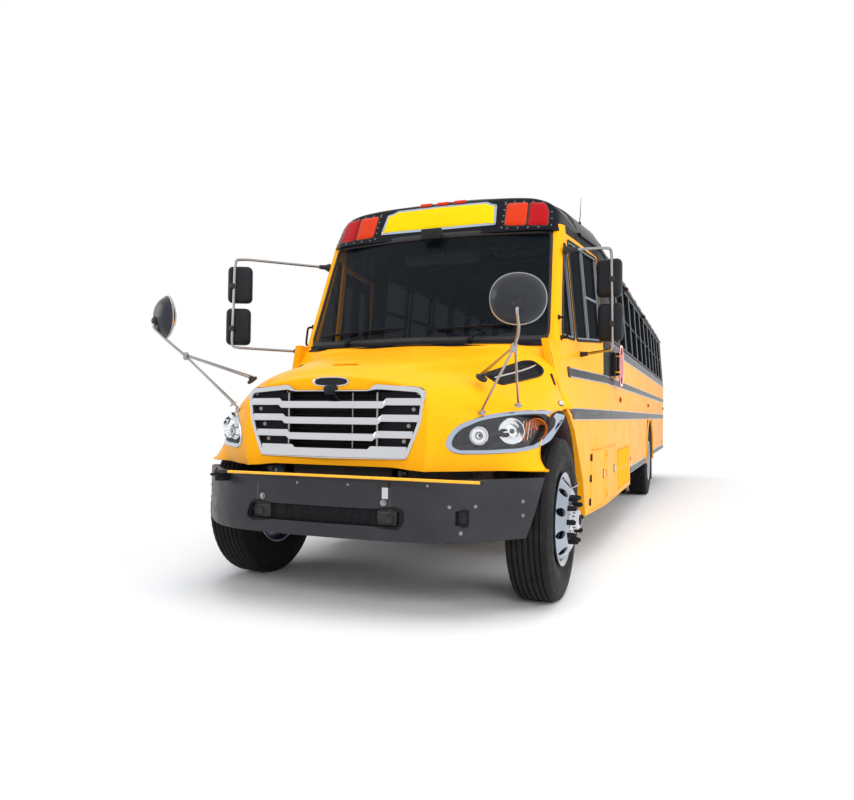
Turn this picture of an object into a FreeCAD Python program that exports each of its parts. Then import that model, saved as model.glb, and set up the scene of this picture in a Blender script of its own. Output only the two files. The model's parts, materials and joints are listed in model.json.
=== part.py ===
import FreeCAD, Part
import math
import os
import Sketcher
from FreeCAD import Placement, Rotation, Vector

# A conventional school bus: a medium truck chassis with a tilting nose and a long, hollow body.
# X runs across the bus (the driver's side is +X), Y runs from the nose to the tail, Z is up.
# Each shape is drawn from the middle of the front axle at ground level, and the finished
# sub-parts are then moved forward together, so that the origin lies under mid length.

doc = FreeCAD.newDocument("SchoolBus")
sheet = doc.addObject("Spreadsheet::Sheet", "Sizes")
size_rows = []


# ---------------------------------------------------------------- sizes with names

class Size:
    """A dimension in mm that knows both its number and its cell in the sheet."""

    def __init__(self, value, text):
        self.value = float(value)
        self.text = text

    def __float__(self):
        return self.value

    def __add__(self, other):
        return Size(self.value + float(other), f"({self.text} + {cell_text(other)})")

    def __radd__(self, other):
        return self + other

    def __sub__(self, other):
        return Size(self.value - float(other), f"({self.text} - {cell_text(other)})")

    def __rsub__(self, other):
        return Size(float(other) - self.value, f"({cell_text(other)} - {self.text})")

    def __mul__(self, other):
        return Size(self.value * float(other), f"({self.text} * {cell_text(other)})")

    def __rmul__(self, other):
        return self * other

    def __truediv__(self, other):
        return Size(self.value / float(other), f"({self.text} / {cell_text(other)})")

    def __neg__(self):
        return self * -1


def cell_text(amount):
    return amount.text if isinstance(amount, Size) else f"({float(amount)})"


def size(word, value, meaning):
    """Write one driving dimension into the sheet and hand it back."""
    size_rows.append(word)
    row = len(size_rows)
    sheet.set(f"A{row}", meaning)
    sheet.set(f"B{row}", str(value))
    sheet.setAlias(f"B{row}", word)
    return Size(value, f"Sizes.{word}")


# ---------------------------------------------------------------- shape helpers

PLANES = {
    # plane: its two drawing directions and the way it is extruded
    "XY": (Vector(1, 0, 0), Vector(0, 1, 0), Vector(0, 0, 1)),
    "XZ": (Vector(1, 0, 0), Vector(0, 0, 1), Vector(0, 1, 0)),
    "YZ": (Vector(0, 1, 0), Vector(0, 0, 1), Vector(1, 0, 0)),
}
TURNED_TO = {
    # axis: the turn that lays a cylinder's own Z along it
    "X": Rotation(Vector(0, 1, 0), 90),
    "Y": Rotation(Vector(1, 0, 0), -90),
    "Z": Rotation(),
}


def bind(thing, prop, amount):
    if isinstance(amount, Size):
        thing.setExpression(prop, amount.text)


def put(thing, x, y, z, turn=None):
    thing.Placement = Placement(Vector(float(x), float(y), float(z)), turn or Rotation())
    bind(thing, ".Placement.Base.x", x)
    bind(thing, ".Placement.Base.y", y)
    bind(thing, ".Placement.Base.z", z)
    return thing


def box(low, high):
    """A block between two corners (x, y, z)."""
    block = doc.addObject("Part::Box", "Block")
    for prop, start, end in zip(("Length", "Width", "Height"), low, high):
        setattr(block, prop, float(end) - float(start))
        bind(block, prop, end - start)
    return put(block, *low)


def cylinder(axis, base, radius, length):
    rod = doc.addObject("Part::Cylinder", "Round")
    rod.Radius = float(radius)
    rod.Height = float(length)
    bind(rod, "Radius", radius)
    bind(rod, "Height", length)
    return put(rod, *base, TURNED_TO[axis])


def ball(centre, radius):
    round_end = doc.addObject("Part::Sphere", "Ball")
    round_end.Radius = float(radius)
    bind(round_end, "Radius", radius)
    return put(round_end, *centre)


def bar(start, end, radius):
    """A round bar between two points."""
    run = Vector(*map(float, end)) - Vector(*map(float, start))
    rod = doc.addObject("Part::Cylinder", "Bar")
    rod.Radius = float(radius)
    rod.Height = run.Length
    bind(rod, "Radius", radius)
    return put(rod, *start, Rotation(Vector(0, 0, 1), run))


def outline(plane, points, offset=0):
    """A closed outline of straight edges, each corner held to the sheet."""
    across, along, normal = PLANES[plane]
    sketch = doc.addObject("Sketcher::SketchObject", "Outline")
    place = [offset * side for side in normal]
    put(sketch, *place, Rotation(across, along, Vector(0, 0, 0), "XYZ"))
    corners = [Vector(float(first), float(second), 0) for first, second in points]
    count = len(corners)
    sketch.addGeometry([Part.LineSegment(corners[i], corners[(i + 1) % count])
                        for i in range(count)], False)
    rules = [Sketcher.Constraint("Coincident", i, 2, (i + 1) % count, 1) for i in range(count)]
    for i, corner in enumerate(corners):
        rules.append(Sketcher.Constraint("DistanceX", -1, 1, i, 1, corner.x))
        rules.append(Sketcher.Constraint("DistanceY", -1, 1, i, 1, corner.y))
    sketch.addConstraint(rules)
    for i, (first, second) in enumerate(points):
        bind(sketch, f"Constraints[{count + 2 * i}]", first)
        bind(sketch, f"Constraints[{count + 2 * i + 1}]", second)
    return sketch


def prism(plane, points, start, end):
    """An outline extruded square to its plane, from start to end."""
    solid = doc.addObject("Part::Extrusion", "Prism")
    solid.Base = outline(plane, points, start)
    solid.DirMode = "Custom"
    solid.Dir = PLANES[plane][2]
    solid.LengthFwd = float(end) - float(start)
    bind(solid, "LengthFwd", end - start)
    solid.Solid = True
    return solid


def turned(points, x, y, z):
    """A turned piece about an axle along X; points are (distance along the axle, radius)."""
    solid = doc.addObject("Part::Revolution", "Turned")
    solid.Source = outline("XZ", points)
    solid.Axis = Vector(1, 0, 0)
    solid.Angle = 360
    solid.Solid = True
    return put(solid, x, y, z)


def loft(sections):
    """A ruled solid through closed outlines that have the same number of corners."""
    solid = doc.addObject("Part::Loft", "Loft")
    solid.Sections = sections
    solid.Solid = True
    solid.Ruled = True
    return solid


def joined(*pieces):
    if len(pieces) == 1:
        return pieces[0]
    whole = doc.addObject("Part::MultiFuse", "Joined")
    whole.Shapes = list(pieces)
    return whole


def group(*pieces):
    """Like pieces that share a sub-part without touching."""
    together = doc.addObject("Part::Compound", "Group")
    together.Links = list(pieces)
    return together


def cut(base, *tools):
    piece = doc.addObject("Part::Cut", "Cut")
    piece.Base = base
    piece.Tool = tools[0] if len(tools) == 1 else group(*tools)
    return piece


def common(first, second):
    piece = doc.addObject("Part::Common", "Common")
    piece.Base = first
    piece.Tool = second
    return piece


def mirrored(piece):
    """The same piece on the other side of the bus."""
    twin = doc.addObject("Part::Mirroring", "Mirrored")
    twin.Source = piece
    twin.Normal = Vector(1, 0, 0)
    return twin


def both_sides(points):
    """A half outline, from the middle outwards, completed by its mirror image."""
    other = [(-1 * across, second) for across, second in reversed(points) if float(across) > 0]
    return list(points) + other


# ---------------------------------------------------------------- driving dimensions

WIDE = 2000.0     # further out than any side of the bus, for cuts that pass right through
GAP = 0.3         # running clearance between pieces that move on each other

origin_back = size("origin_back", 4740, "front axle back to the origin")
wheelbase = size("wheelbase", 6940, "front axle to rear axle")
body_end = size("body_end", 10500, "front axle back to the rear wall's outer face")
cab_end = size("cab_end", 1900, "where the tapered cab meets the straight body")
wall = size("wall", 50, "thickness of the body's walls and roof")
body_half = size("body_half", 1219, "half width of the straight body")
roof_half = size("roof_half", 1150, "half width where wall and roof meet")
skirt_low = size("skirt_low", 405, "ground to the skirt's lower edge")
belt_height = size("belt_height", 1795, "ground to the belt under the windows")
roof_edge = size("roof_edge", 2700, "ground to the lower edge of the roof")
roof_rise = size("roof_rise", 390, "roof edge to the roof's crown")
floor_thick = size("floor_thick", 60, "thickness of the floor")

axle_height = size("axle_height", 525, "ground to the wheel centres, and the tyre radius")
tyre_half = size("tyre_half", 140, "half width of a tyre")
front_wheel_out = size("front_wheel_out", 1070, "middle of the bus to a front tyre's middle")
dual_middle = size("dual_middle", 900, "middle of the bus to the joint of a twin wheel")
dual_offset = size("dual_offset", 172, "joint of a twin wheel to each tyre's middle")
kingpin_out = size("kingpin_out", 895, "middle of the bus to a kingpin")

rail_half = size("rail_half", 432, "half width over the frame rails")
rail_low = size("rail_low", 640, "ground to the underside of the frame rails")
rail_depth = size("rail_depth", 257, "depth of a frame rail")
joist_depth = size("joist_depth", 73, "depth of the joists between the rails and the floor")
rail_top = rail_low + rail_depth
floor_top = rail_top + joist_depth + floor_thick
rear_low = size("rear_low", 620, "ground to the rear wall's lower edge")
nose_front = size("nose_front", -940, "front axle to the face of the nose")
bumper_face = size("bumper_face", -1060, "front axle to the middle of the front bumper's face")
bumper_low = size("bumper_low", 486, "ground to the front bumper's lower edge")
bumper_high = size("bumper_high", 830, "ground to the front bumper's upper edge")
plate = size("plate", 10, "thickness of the bumper plates")
wall_inner_end = body_end - wall

# Each finished sub-part, by the name of its file.
nodes = {}


def node(name, piece):
    """Name a sub-part and move it from the front axle's place to the origin's."""
    wrapped = group(piece) if piece.TypeId != "Part::Compound" else piece
    wrapped.Label = name
    bind(wrapped, ".Placement.Base.y", -origin_back)
    nodes[name] = wrapped


# ---------------------------------------------------------------- wheels and axles

def tyre(x, y):
    """A tyre whose bead stands 2 mm off the rim's seat."""
    bead = rim_seat + 2
    tread = axle_height
    wall_high = tread - bead
    half = [(0, tread), (tyre_half - 50, tread), (tyre_half - 28, tread - wall_high * 0.034),
            (tyre_half - 6, tread - wall_high * 0.19), (tyre_half, tread - wall_high * 0.443),
            (tyre_half - 12, tread - wall_high * 0.8), (tyre_half - 28, bead + 14),
            (tyre_half - 28, bead)]
    return turned(both_sides(half), x, y, axle_height)


def front_rim(x, y):
    """Barrel, dished disc, hub and drum of a front wheel, in one turned outline."""
    profile = [(-75, hub_bore), (-75, 210), (70, 210), (70, 118), (150, 118), (150, 185),
               (100, 270), (-124, 272), (-124, 300), (-112.3, 300), (-112.3, rim_seat),
               (112.3, rim_seat), (112.3, 300), (124, 300), (124, 268), (118, 258),
               (172, 195), (172, 108), (195, 100), (208, 70), (208, 0), (140, 0),
               (140, hub_bore)]
    rim = turned(profile, x, y, axle_height)
    return cut(rim, *hand_holes(x + 90, y, 110))


def hand_holes(x, y, depth):
    """Ten round holes in the dish of a wheel."""
    holes = []
    for step in range(hand_hole_count):
        angle = 2 * math.pi * (step + 0.5) / hand_hole_count
        across = hand_hole_circle * math.cos(angle)
        up = hand_hole_circle * math.sin(angle)
        holes.append(cylinder("X", (x, y + across, axle_height + up), hand_hole_radius, depth))
    return holes


def twin_rims(x, y):
    """The two rims of a twin wheel, disc to disc, with their hub and drum."""
    near = dual_offset - 124
    far = dual_offset + 124
    half_rim = [(0, 112), (0, 190), (near, 262), (near, 300), (near + 11.7, 300),
                (near + 11.7, rim_seat), (far - 11.7, rim_seat), (far - 11.7, 300), (far, 300),
                (far, 272), (near + 34, 268), (22, 190), (22, 112)]
    outer = turned(half_rim, x, y, axle_height)
    inner = turned([(-1 * across, radius) for across, radius in half_rim], x, y, axle_height)
    hub = turned([(-290, hub_bore), (-290, 205), (-60, 205), (-60, 112), (60, 112), (60, 88),
                  (110, 80), (110, 0), (-50, 0), (-50, hub_bore)], x, y, axle_height)
    return cut(joined(outer, inner, hub), *hand_holes(x - 45, y, 90))


spindle_radius = size("spindle_radius", 45, "radius of a wheel spindle")
hub_bore = spindle_radius + GAP
rim_seat = size("rim_seat", 286, "radius of the rim where the tyre's bead sits")
hand_hole_count = 10
hand_hole_circle = size("hand_hole_circle", 226, "radius of the circle of hand holes")
hand_hole_radius = size("hand_hole_radius", 25, "radius of a hand hole")

front_tyre = tyre(front_wheel_out, 0)
front_rim_left = front_rim(front_wheel_out, 0)
rear_pair = [tyre(dual_middle + dual_offset, wheelbase),
             tyre(dual_middle - dual_offset, wheelbase)]
rear_rims = twin_rims(dual_middle, wheelbase)
node("front_tyre_left", front_tyre)
node("front_tyre_right", mirrored(front_tyre))
node("front_rim_left", front_rim_left)
node("front_rim_right", mirrored(front_rim_left))
node("rear_tyres_left", group(*rear_pair))
node("rear_tyres_right", group(*[mirrored(one) for one in rear_pair]))
node("rear_rims_left", rear_rims)
node("rear_rims_right", mirrored(rear_rims))

# The front beam: dropped in the middle, with an eye for each kingpin.
eye_half = size("eye_half", 45, "half height of the beam's kingpin eye")
eye_radius = size("eye_radius", 48, "radius of the beam's kingpin eye")
kingpin_radius = size("kingpin_radius", 20, "radius of a kingpin")
beam_profile = both_sides([(0, 420), (620, 420), (760, axle_height - eye_half),
                           (kingpin_out, axle_height - eye_half),
                           (kingpin_out, axle_height + eye_half),
                           (730, axle_height + eye_half), (600, 500), (0, 500)])
beam = prism("XZ", beam_profile, -45, 45)
beam_eyes = [cylinder("Z", (side * kingpin_out, 0, axle_height - eye_half), eye_radius,
                      eye_half * 2) for side in (1, -1)]
beam_bores = [cylinder("Z", (side * kingpin_out, 0, axle_height - eye_half - 10),
                       kingpin_radius + GAP, eye_half * 2 + 20) for side in (1, -1)]
node("front_axle_beam", cut(joined(beam, *beam_eyes), *beam_bores))

# A knuckle forks over the eye, carries the spindle and reaches back to the tie rod.
arm_reach = size("arm_reach", 220, "kingpin back to the tie rod's pin")
tie_radius = size("tie_radius", 12, "radius of the tie rod")
tie_pin = size("tie_pin", 12, "radius of a tie rod pin")
fork_top = axle_height + eye_half + GAP
fork_bottom = axle_height - eye_half - GAP
web_in = kingpin_out + eye_radius + 2
fork_low = fork_bottom - 45
tie_height = fork_low - 20
knuckle = joined(
    box((kingpin_out - 48, -45, fork_top), (web_in + 22, 45, fork_top + 50)),
    box((kingpin_out - 48, -45, fork_low), (web_in + 22, 45, fork_bottom)),
    box((web_in, -60, fork_low), (web_in + 22, 60, fork_top + 50)),
    cylinder("Z", (kingpin_out, 0, fork_low), kingpin_radius, eye_half * 2 + 90),
    cylinder("X", (web_in, 0, axle_height), spindle_radius,
             front_wheel_out + 135 - web_in),
    cylinder("X", (web_in + 22, 0, axle_height), 150, 18),
    box((kingpin_out - 22, 40, fork_low), (kingpin_out + 22, arm_reach + 22, fork_low + 32)),
    cylinder("Z", (kingpin_out, arm_reach, tie_height - 18), tie_pin, 60),
)
node("steering_knuckle_left", knuckle)
node("steering_knuckle_right", mirrored(knuckle))

# The tie rod turns on the left pin; its right eye has room around the right pin.
tie_eyes = [cylinder("Z", (side * kingpin_out, arm_reach, tie_height - 15), 28, 30)
            for side in (1, -1)]
tie_holes = [cylinder("Z", (side * kingpin_out, arm_reach, tie_height - 25), tie_pin + room, 50)
             for side, room in ((1, GAP), (-1, 1.5))]
tie_bar = cylinder("X", (-kingpin_out, arm_reach, tie_height), tie_radius, kingpin_out * 2)
node("tie_rod", cut(joined(tie_bar, *tie_eyes), *tie_holes))

# The rear axle: a tube with its bowl in the middle and a spindle for each twin wheel.
axle_tube = size("axle_tube", 75, "radius of the rear axle's tube")
bowl_radius = size("bowl_radius", 205, "radius of the rear axle's bowl")
tube_end = dual_middle - 290 - 6
spindle_end = dual_middle - 60
node("rear_axle", joined(
    cylinder("X", (-tube_end, wheelbase, axle_height), axle_tube, tube_end * 2),
    cylinder("X", (-spindle_end, wheelbase, axle_height), spindle_radius, spindle_end * 2),
    ball((0, wheelbase, axle_height), bowl_radius),
    cylinder("Y", (0, wheelbase - 330, axle_height), 95, 330)))

# Leaf springs hang under the rails and sit on the axles.
spring_eye = size("spring_eye", 600, "ground to the underside of a leaf spring's ends")
spring_table = (
    # middle from the front axle, distance out, half length, width, seat height, eye height
    (0, 430, 620, 80, 500, spring_eye),
    (wheelbase, 505, 720, 74, axle_height + 75, spring_eye),
)
spring_end = size("spring_end", 34, "thickness of a leaf spring's flat ends")
springs = []
for middle, out, half_long, width, seat, eye in spring_table:
    top = eye + spring_end
    flat_half = half_long - 60
    leaf = [(middle - half_long, eye), (middle - half_long * 0.5, seat + 30),
            (middle - 60, seat), (middle + 60, seat), (middle + half_long * 0.5, seat + 30),
            (middle + half_long, eye), (middle + half_long, top), (middle + flat_half, top),
            (middle + half_long * 0.5, seat + 82), (middle + 60, seat + 62),
            (middle - 60, seat + 62), (middle - half_long * 0.5, seat + 82),
            (middle - flat_half, top), (middle - half_long, top)]
    for side in (1, -1):
        springs.append(prism("YZ", leaf, side * out - width / 2, side * out + width / 2))

# ---------------------------------------------------------------- frame and drive line

rail_start = bumper_face + plate + 26.2
web_thick = size("web_thick", 8, "thickness of a frame rail")
flange = size("flange", 80, "width of a frame rail's flanges")


def rail(side):
    outer = rail_half * side
    inner = (rail_half - web_thick) * side
    lip = (rail_half - flange) * side
    return prism("XZ", [(outer, rail_low), (outer, rail_top), (lip, rail_top),
                        (lip, rail_top - web_thick), (inner, rail_top - web_thick),
                        (inner, rail_low + web_thick), (lip, rail_low + web_thick),
                        (lip, rail_low)], rail_start, wall_inner_end)


cross_places = (-560, 1500, 3000, 4600, 5900, wheelbase + 800, 9500, wall_inner_end - 80)
member_half = rail_half - web_thick - GAP
shaft_radius = size("shaft_radius", 50, "radius of the drive shafts")
gearbox_end = size("gearbox_end", 1440, "front axle back to the end of the gearbox")
shaft_front = (0, gearbox_end + 1.6, 720)
shaft_middle = (0, 4600, 640)
shaft_rear = (0, wheelbase - 333, axle_height + 10)
tunnels = group(bar(shaft_front, shaft_middle, shaft_radius + 25),
                bar(shaft_middle, shaft_rear, shaft_radius + 25))
node("cross_members", group(*[cut(box((-member_half, y, rail_low + 60),
                                      (member_half, y + 60, rail_top - 30)), tunnels)
                              for y in cross_places]))
hanger_table = (
    # nearest and furthest distance out, place along: from the rail down to the spring's eye
    (390, 470, -620), (390, 470, 620), (420, 542, wheelbase - 720), (420, 542, wheelbase + 720),
)
# The rails drop at the nose, under the hood's hinges.
nose_drop = size("nose_drop", 790, "ground to the top of the rails' front ends")
nose_drop_end = size("nose_drop_end", -760, "front axle to the end of the rails' low fronts")
hood_pivot_y = size("hood_pivot_y", -890, "front axle to the hood's pivot")
hood_pivot_z = size("hood_pivot_z", 852, "ground to the hood's pivot")
hood_pin = size("hood_pin", 10, "radius of a hood hinge pin")
hinge_in = rail_half - web_thick
hinge_out = rail_half + 8
nose_cut = box((-WIDE, bumper_face - 50, nose_drop), (WIDE, nose_drop_end, rail_top + 10))
# Two plates on the rails' tails end in the rear tow eyes, under the rear wall.
tow_hole = size("tow_hole", 18, "radius of a rear tow eye")
tow_along = body_end + 50
tow_height = rear_low - 48
tow_outline = [(wall_inner_end - 150, tow_height - 27), (wall_inner_end - 150, rail_low + 20),
               (wall_inner_end - 5, rail_low + 20), (wall_inner_end - 5, tow_height + 27),
               (tow_along + 15, tow_height + 27), (tow_along + 38, tow_height),
               (tow_along + 15, tow_height - 27)]
tow_bore = cylinder("X", (-WIDE, tow_along, tow_height), tow_hole, 2 * WIDE)


def rail_side(side):
    """A frame rail with its spring hangers, its tow eye and the post and pin for the hood."""
    def across(near, far):
        return (near, far) if side > 0 else (-1 * far, -1 * near)

    low_x, high_x = across(hinge_in, hinge_out)
    hangers = [box((across(near, far)[0], along - 40, spring_eye + spring_end),
                   (across(near, far)[1], along + 40, rail_low + 60))
               for near, far, along in hanger_table]
    metal = cut(joined(rail(side), prism("YZ", tow_outline, low_x, high_x), *hangers),
                nose_cut, tow_bore)
    post = box((low_x, hood_pivot_y - 18, nose_drop - 30),
               (high_x, hood_pivot_y + 18, hood_pivot_z + 16))
    pin_start = across(hinge_in, hinge_out + 24)[0]
    pin = cylinder("X", (pin_start, hood_pivot_y, hood_pivot_z), hood_pin,
                   hinge_out + 24 - hinge_in)
    return joined(metal, post, pin)


node("frame_rails", group(rail_side(1), rail_side(-1)))
node("leaf_springs", group(*springs))

engine_high = size("engine_high", 1290, "ground to the top of the engine")
node("engine_block", joined(
    box((-300, -480, 600), (300, 500, engine_high)),
    box((-200, 500, 560), (200, gearbox_end, rail_top - 12)),
    box((-member_half, 60, 700), (member_half, 130, 740))))
node("drive_shaft", joined(bar(shaft_front, shaft_middle, shaft_radius),
                           bar(shaft_middle, shaft_rear, shaft_radius)))
node("radiator", joined(
    box((-335, -800, 690), (335, -700, engine_high)),
    box((-330, -700, 720), (330, -620, 1260)),
    box((-member_half, -755, 700), (member_half, -715, 740))))
tank_start = size("tank_start", 7860, "front axle back to the fuel tank")
tank_long = size("tank_long", 1520, "length of the fuel tank")
tank_half = size("tank_half", 330, "half width of the fuel tank")
tank_low = size("tank_low", 480, "ground to the underside of the fuel tank")
tank_high = size("tank_high", 880, "ground to the top of the fuel tank")
node("fuel_tank", joined(
    box((-tank_half, tank_start, tank_low), (tank_half, tank_start + tank_long, tank_high)),
    *[box((-member_half, y, 700), (member_half, y + 60, 760))
      for y in (tank_start + 240, tank_start + tank_long - 280)]))

pipe_x = size("pipe_x", 560, "middle of the bus to the exhaust pipe's middle")
pipe_height = size("pipe_height", 590, "ground to the exhaust pipe's middle")
pipe_radius = size("pipe_radius", 50, "radius of the exhaust pipe")
silencer_start = size("silencer_start", 3000, "front axle back to the silencer")
outlet_place = size("outlet_place", 5300, "front axle back to the exhaust's outlet")
node("exhaust_pipe", joined(
    cylinder("Y", (pipe_x, 900, pipe_height), pipe_radius, silencer_start - 850),
    cylinder("Y", (pipe_x, silencer_start, pipe_height), 130, 1150),
    cylinder("Y", (pipe_x, silencer_start + 1100, pipe_height), pipe_radius, 1250),
    cylinder("X", (pipe_x - 5, outlet_place, pipe_height), pipe_radius - 1, 590),
    *[box((rail_half + GAP, y, 600), (pipe_x, y + 40, 650)) for y in (1700, 4300)]))

# ---------------------------------------------------------------- the body's shell

cab_front = size("cab_front", 310, "front axle back to the front of the cowl")
sill_high = size("sill_high", 1200, "ground to the shoulder over the wheel arch")
waist_high = size("waist_high", 1484, "ground to the waist over the shoulder")
# The tapered cab: half widths at its drawing station, 1400 mm ahead of the straight body.
cab_levels = (
    # height, half width in front, half width where the body is straight
    (skirt_low, size("nose_skirt", 1135, "cab half width at the skirt"), body_half),
    (sill_high, size("nose_sill", 1178, "cab half width at the shoulder"), body_half),
    (waist_high, size("nose_waist", 1085, "cab half width at the waist"), body_half),
    (belt_height, size("nose_belt", 1042, "cab half width at the belt"), body_half),
    (roof_edge, size("nose_roof", 940, "cab half width at the roof's edge"), roof_half),
)
taper_run = size("taper_run", 1400, "length over which the cab's half widths are given")


def cab_section(along, inset=0):
    """Half widths and heights of the body's side at a distance from the front axle."""
    if float(along) >= float(cab_end):
        return [(straight - inset, height) for height, nose, straight in cab_levels]
    share = (cab_end - along) / taper_run
    return [(straight - (straight - nose) * share.value - inset, height)
            for height, nose, straight in cab_levels]


def half_width(along, height):
    """Half width of the outer skin at any place, for what seats on it."""
    section = cab_section(along)
    for (wide_low, low), (wide_high, high) in zip(section, section[1:]):
        if float(height) <= float(high):
            share = (float(height) - float(low)) / (float(high) - float(low))
            return wide_low + (wide_high - wide_low) * share
    return section[-1][0]


def side_points(along, low, high, inset=0):
    """The outer skin's line between two heights, set in by a depth."""
    between = [row[0] for row in cab_levels if float(low) < float(row[0]) < float(high)]
    return [(half_width(along, height) - inset, height) for height in [low] + between + [high]]


def side_wall():
    """The left wall, from the cowl to the tail, as thick as the real double wall."""
    sections = []
    for along in (cab_front, cab_end, wall_inner_end):
        outer = cab_section(along)
        inner = cab_section(along, wall)
        sections.append(outline("XZ", outer + inner[::-1], along))
    return loft(sections)


def core(inset, low, high, start, end):
    """All the room between the two walls, for panels that reach from wall to wall."""
    sections = []
    for along in (start, cab_end, end):
        half = side_points(along, low, high, inset)
        left = [(-1 * wide, height) for wide, height in reversed(half)]
        sections.append(outline("XZ", half + left, along))
    return loft(sections)


# The windscreen: raked, and bowed forward in the middle.
glass_foot = size("glass_foot", 1740, "ground to the windscreen's foot")
glass_head = size("glass_head", 2640, "ground to the windscreen's head")
foot_corner = size("foot_corner", 510, "front axle back to the windscreen's lower corner")
glass_lean = size("glass_lean", 395, "how far the windscreen leans back up to the roof's edge")
glass_bow = size("glass_bow", 145, "how far the windscreen bows forward in its middle")
pillar = size("pillar", 60, "width of an A pillar along the side")
head_corner = foot_corner + glass_lean


def screen_ring(height, corner, front, back):
    """Plan of a bowed sheet; front and back are its depths behind the outer glass line."""
    out = half_width(corner, height)
    line = []
    for share, bow in ((0, 1), (0.35, 0.88), (0.7, 0.5), (1, 0)):
        line.append((out * share, corner - glass_bow * bow))
    ahead = [(x, y + front) for x, y in both_sides(line)]
    behind = [(x, y + back) for x, y in both_sides(line)]
    order = len(line)
    ahead = ahead[order:] + ahead[:order]
    behind = behind[order:] + behind[:order]
    return outline("XY", ahead + behind[::-1], height)


def screen_sheet(front, back):
    return loft([screen_ring(glass_foot, foot_corner, front, back),
                 screen_ring(roof_edge, head_corner, front, back)])


def rake(height):
    """Where the windscreen's corner stands at a height."""
    share = (float(height) - float(glass_foot)) / (float(roof_edge) - float(glass_foot))
    return foot_corner + glass_lean * share


pane_edge = [(0, glass_foot + 20), (985, glass_foot + 20), (930, glass_head), (0, glass_head)]
opening_edge = [(0, glass_foot + 20 - GAP), (985 + GAP, glass_foot + 20 - GAP),
                (930 + GAP, glass_head + GAP), (0, glass_head + GAP)]


def screen_cutter(edge):
    other = [(-1 * across, up) for across, up in reversed(edge) if float(across) > 0]
    return prism("XZ", edge[:-1] + [edge[-1]] + other, 0, 1400)


node("windshield", common(screen_sheet(14, 22), screen_cutter(pane_edge)))

# ---------------------------------------------------------------- cuts in the side walls

arch_skirt = size("arch_skirt", 1076, "front axle back to the skirt's front corner")
rear_arch_half = size("rear_arch_half", 610, "half length of the rear wheel arch")
rear_arch_top = size("rear_arch_top", 1149, "ground to the top of the rear wheel arch")
skirt_mid = size("skirt_mid", 537, "ground to the skirt between the axles")
skirt_tail = size("skirt_tail", 580, "ground to the skirt behind the rear axle")
skirt_step = size("skirt_step", 4014, "front axle back to the end of the low skirt")

window_low = size("window_low", 1935, "ground to the side windows' lower edge")
window_high = size("window_high", 2640, "ground to the side windows' upper edge")
window_pitch = size("window_pitch", 706, "spacing of the side windows")
window_post = size("window_post", 66, "width of a post between two side windows")
window_long = window_pitch - window_post
window_first = size("window_first", 2251, "front axle back to the first side window")
window_count = 11
cab_window_low = size("cab_window_low", 1790, "ground to the driver's window's lower edge")
cab_window_high = size("cab_window_high", 2590, "ground to the cab windows' upper edge")

arch_cut = prism("YZ", [(0, 0), (arch_skirt - 30, 0), (arch_skirt, skirt_low),
                        (940, 700), (740, 905), (540, 1093), (302, 1220), (0, 1220)], 0, WIDE)
skirt_cut = prism("YZ", [(skirt_step, 0), (skirt_step, skirt_mid),
                         (wheelbase - rear_arch_half, skirt_mid),
                         (wheelbase - rear_arch_half + 40, 900),
                         (wheelbase - rear_arch_half + 160, rear_arch_top),
                         (wheelbase + rear_arch_half - 160, rear_arch_top),
                         (wheelbase + rear_arch_half - 40, 900),
                         (wheelbase + rear_arch_half, skirt_tail),
                         (body_end + 10, skirt_tail), (body_end + 10, 0)], 0, WIDE)
pillar_cut = prism("YZ", [(0, glass_foot), (rake(glass_foot) + pillar, glass_foot),
                          (rake(roof_edge) + pillar, roof_edge),
                          (rake(roof_edge) + pillar, roof_edge + 10), (0, roof_edge + 10)],
                   0, WIDE)


def window_starts():
    return [window_first + window_pitch * place for place in range(window_count)]


window_cuts = [box((0, along, window_low), (WIDE, along + window_long, window_high))
               for along in window_starts()]

# A cab window is cut as a slanted outline in the side view.
quarter_edge = [(640, cab_window_low), (950, cab_window_low), (950, cab_window_high - 50),
                (900, cab_window_high - 50)]
driver_edge = [(1000, cab_window_low), (1760, cab_window_low + 60), (1760, cab_window_high),
               (1000, cab_window_high)]
door_quarter_edge = [(640, cab_window_low), (1050, cab_window_low), (1050, cab_window_high - 50),
                     (900, cab_window_high - 50)]


def edge_cut(edge):
    return prism("YZ", edge, 0, WIDE)


battery_start = size("battery_start", 1240, "front axle back to the battery door")
battery_long = size("battery_long", 604, "length of the battery door")
battery_low = size("battery_low", 425, "ground to the lockers' doors")
battery_high = size("battery_high", 918, "ground to the top of the lockers' doors")
locker_apart = size("locker_apart", 111, "width of the post between the two lockers")
locker_start = battery_start + battery_long + locker_apart
locker_long = size("locker_long", 600, "length of the second locker's door")
door_play = size("door_play", 6, "gap around a door's leaf")
skin_door = size("skin_door", 25, "thickness of a locker's door")


def locker_cut(start, long):
    return box((0, start, battery_low), (WIDE, start + long, battery_high))


vent_start = size("vent_start", 2760, "front axle back to the vent panel")
vent_long = size("vent_long", 1110, "length of the vent panel")
vent_low = size("vent_low", 450, "ground to the foot of the vent panel")
vent_high = size("vent_high", 870, "ground to the head of the vent panel")
vent_cut = box((body_half - 12, vent_start, vent_low), (WIDE, vent_start + vent_long, vent_high))
left_wall = side_wall()
left_cut = cut(left_wall, arch_cut, skirt_cut, pillar_cut, edge_cut(quarter_edge),
               edge_cut(driver_edge), locker_cut(battery_start, battery_long),
               locker_cut(locker_start, locker_long), vent_cut, *window_cuts)

# ---------------------------------------------------------------- entrance on the curb side

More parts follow.
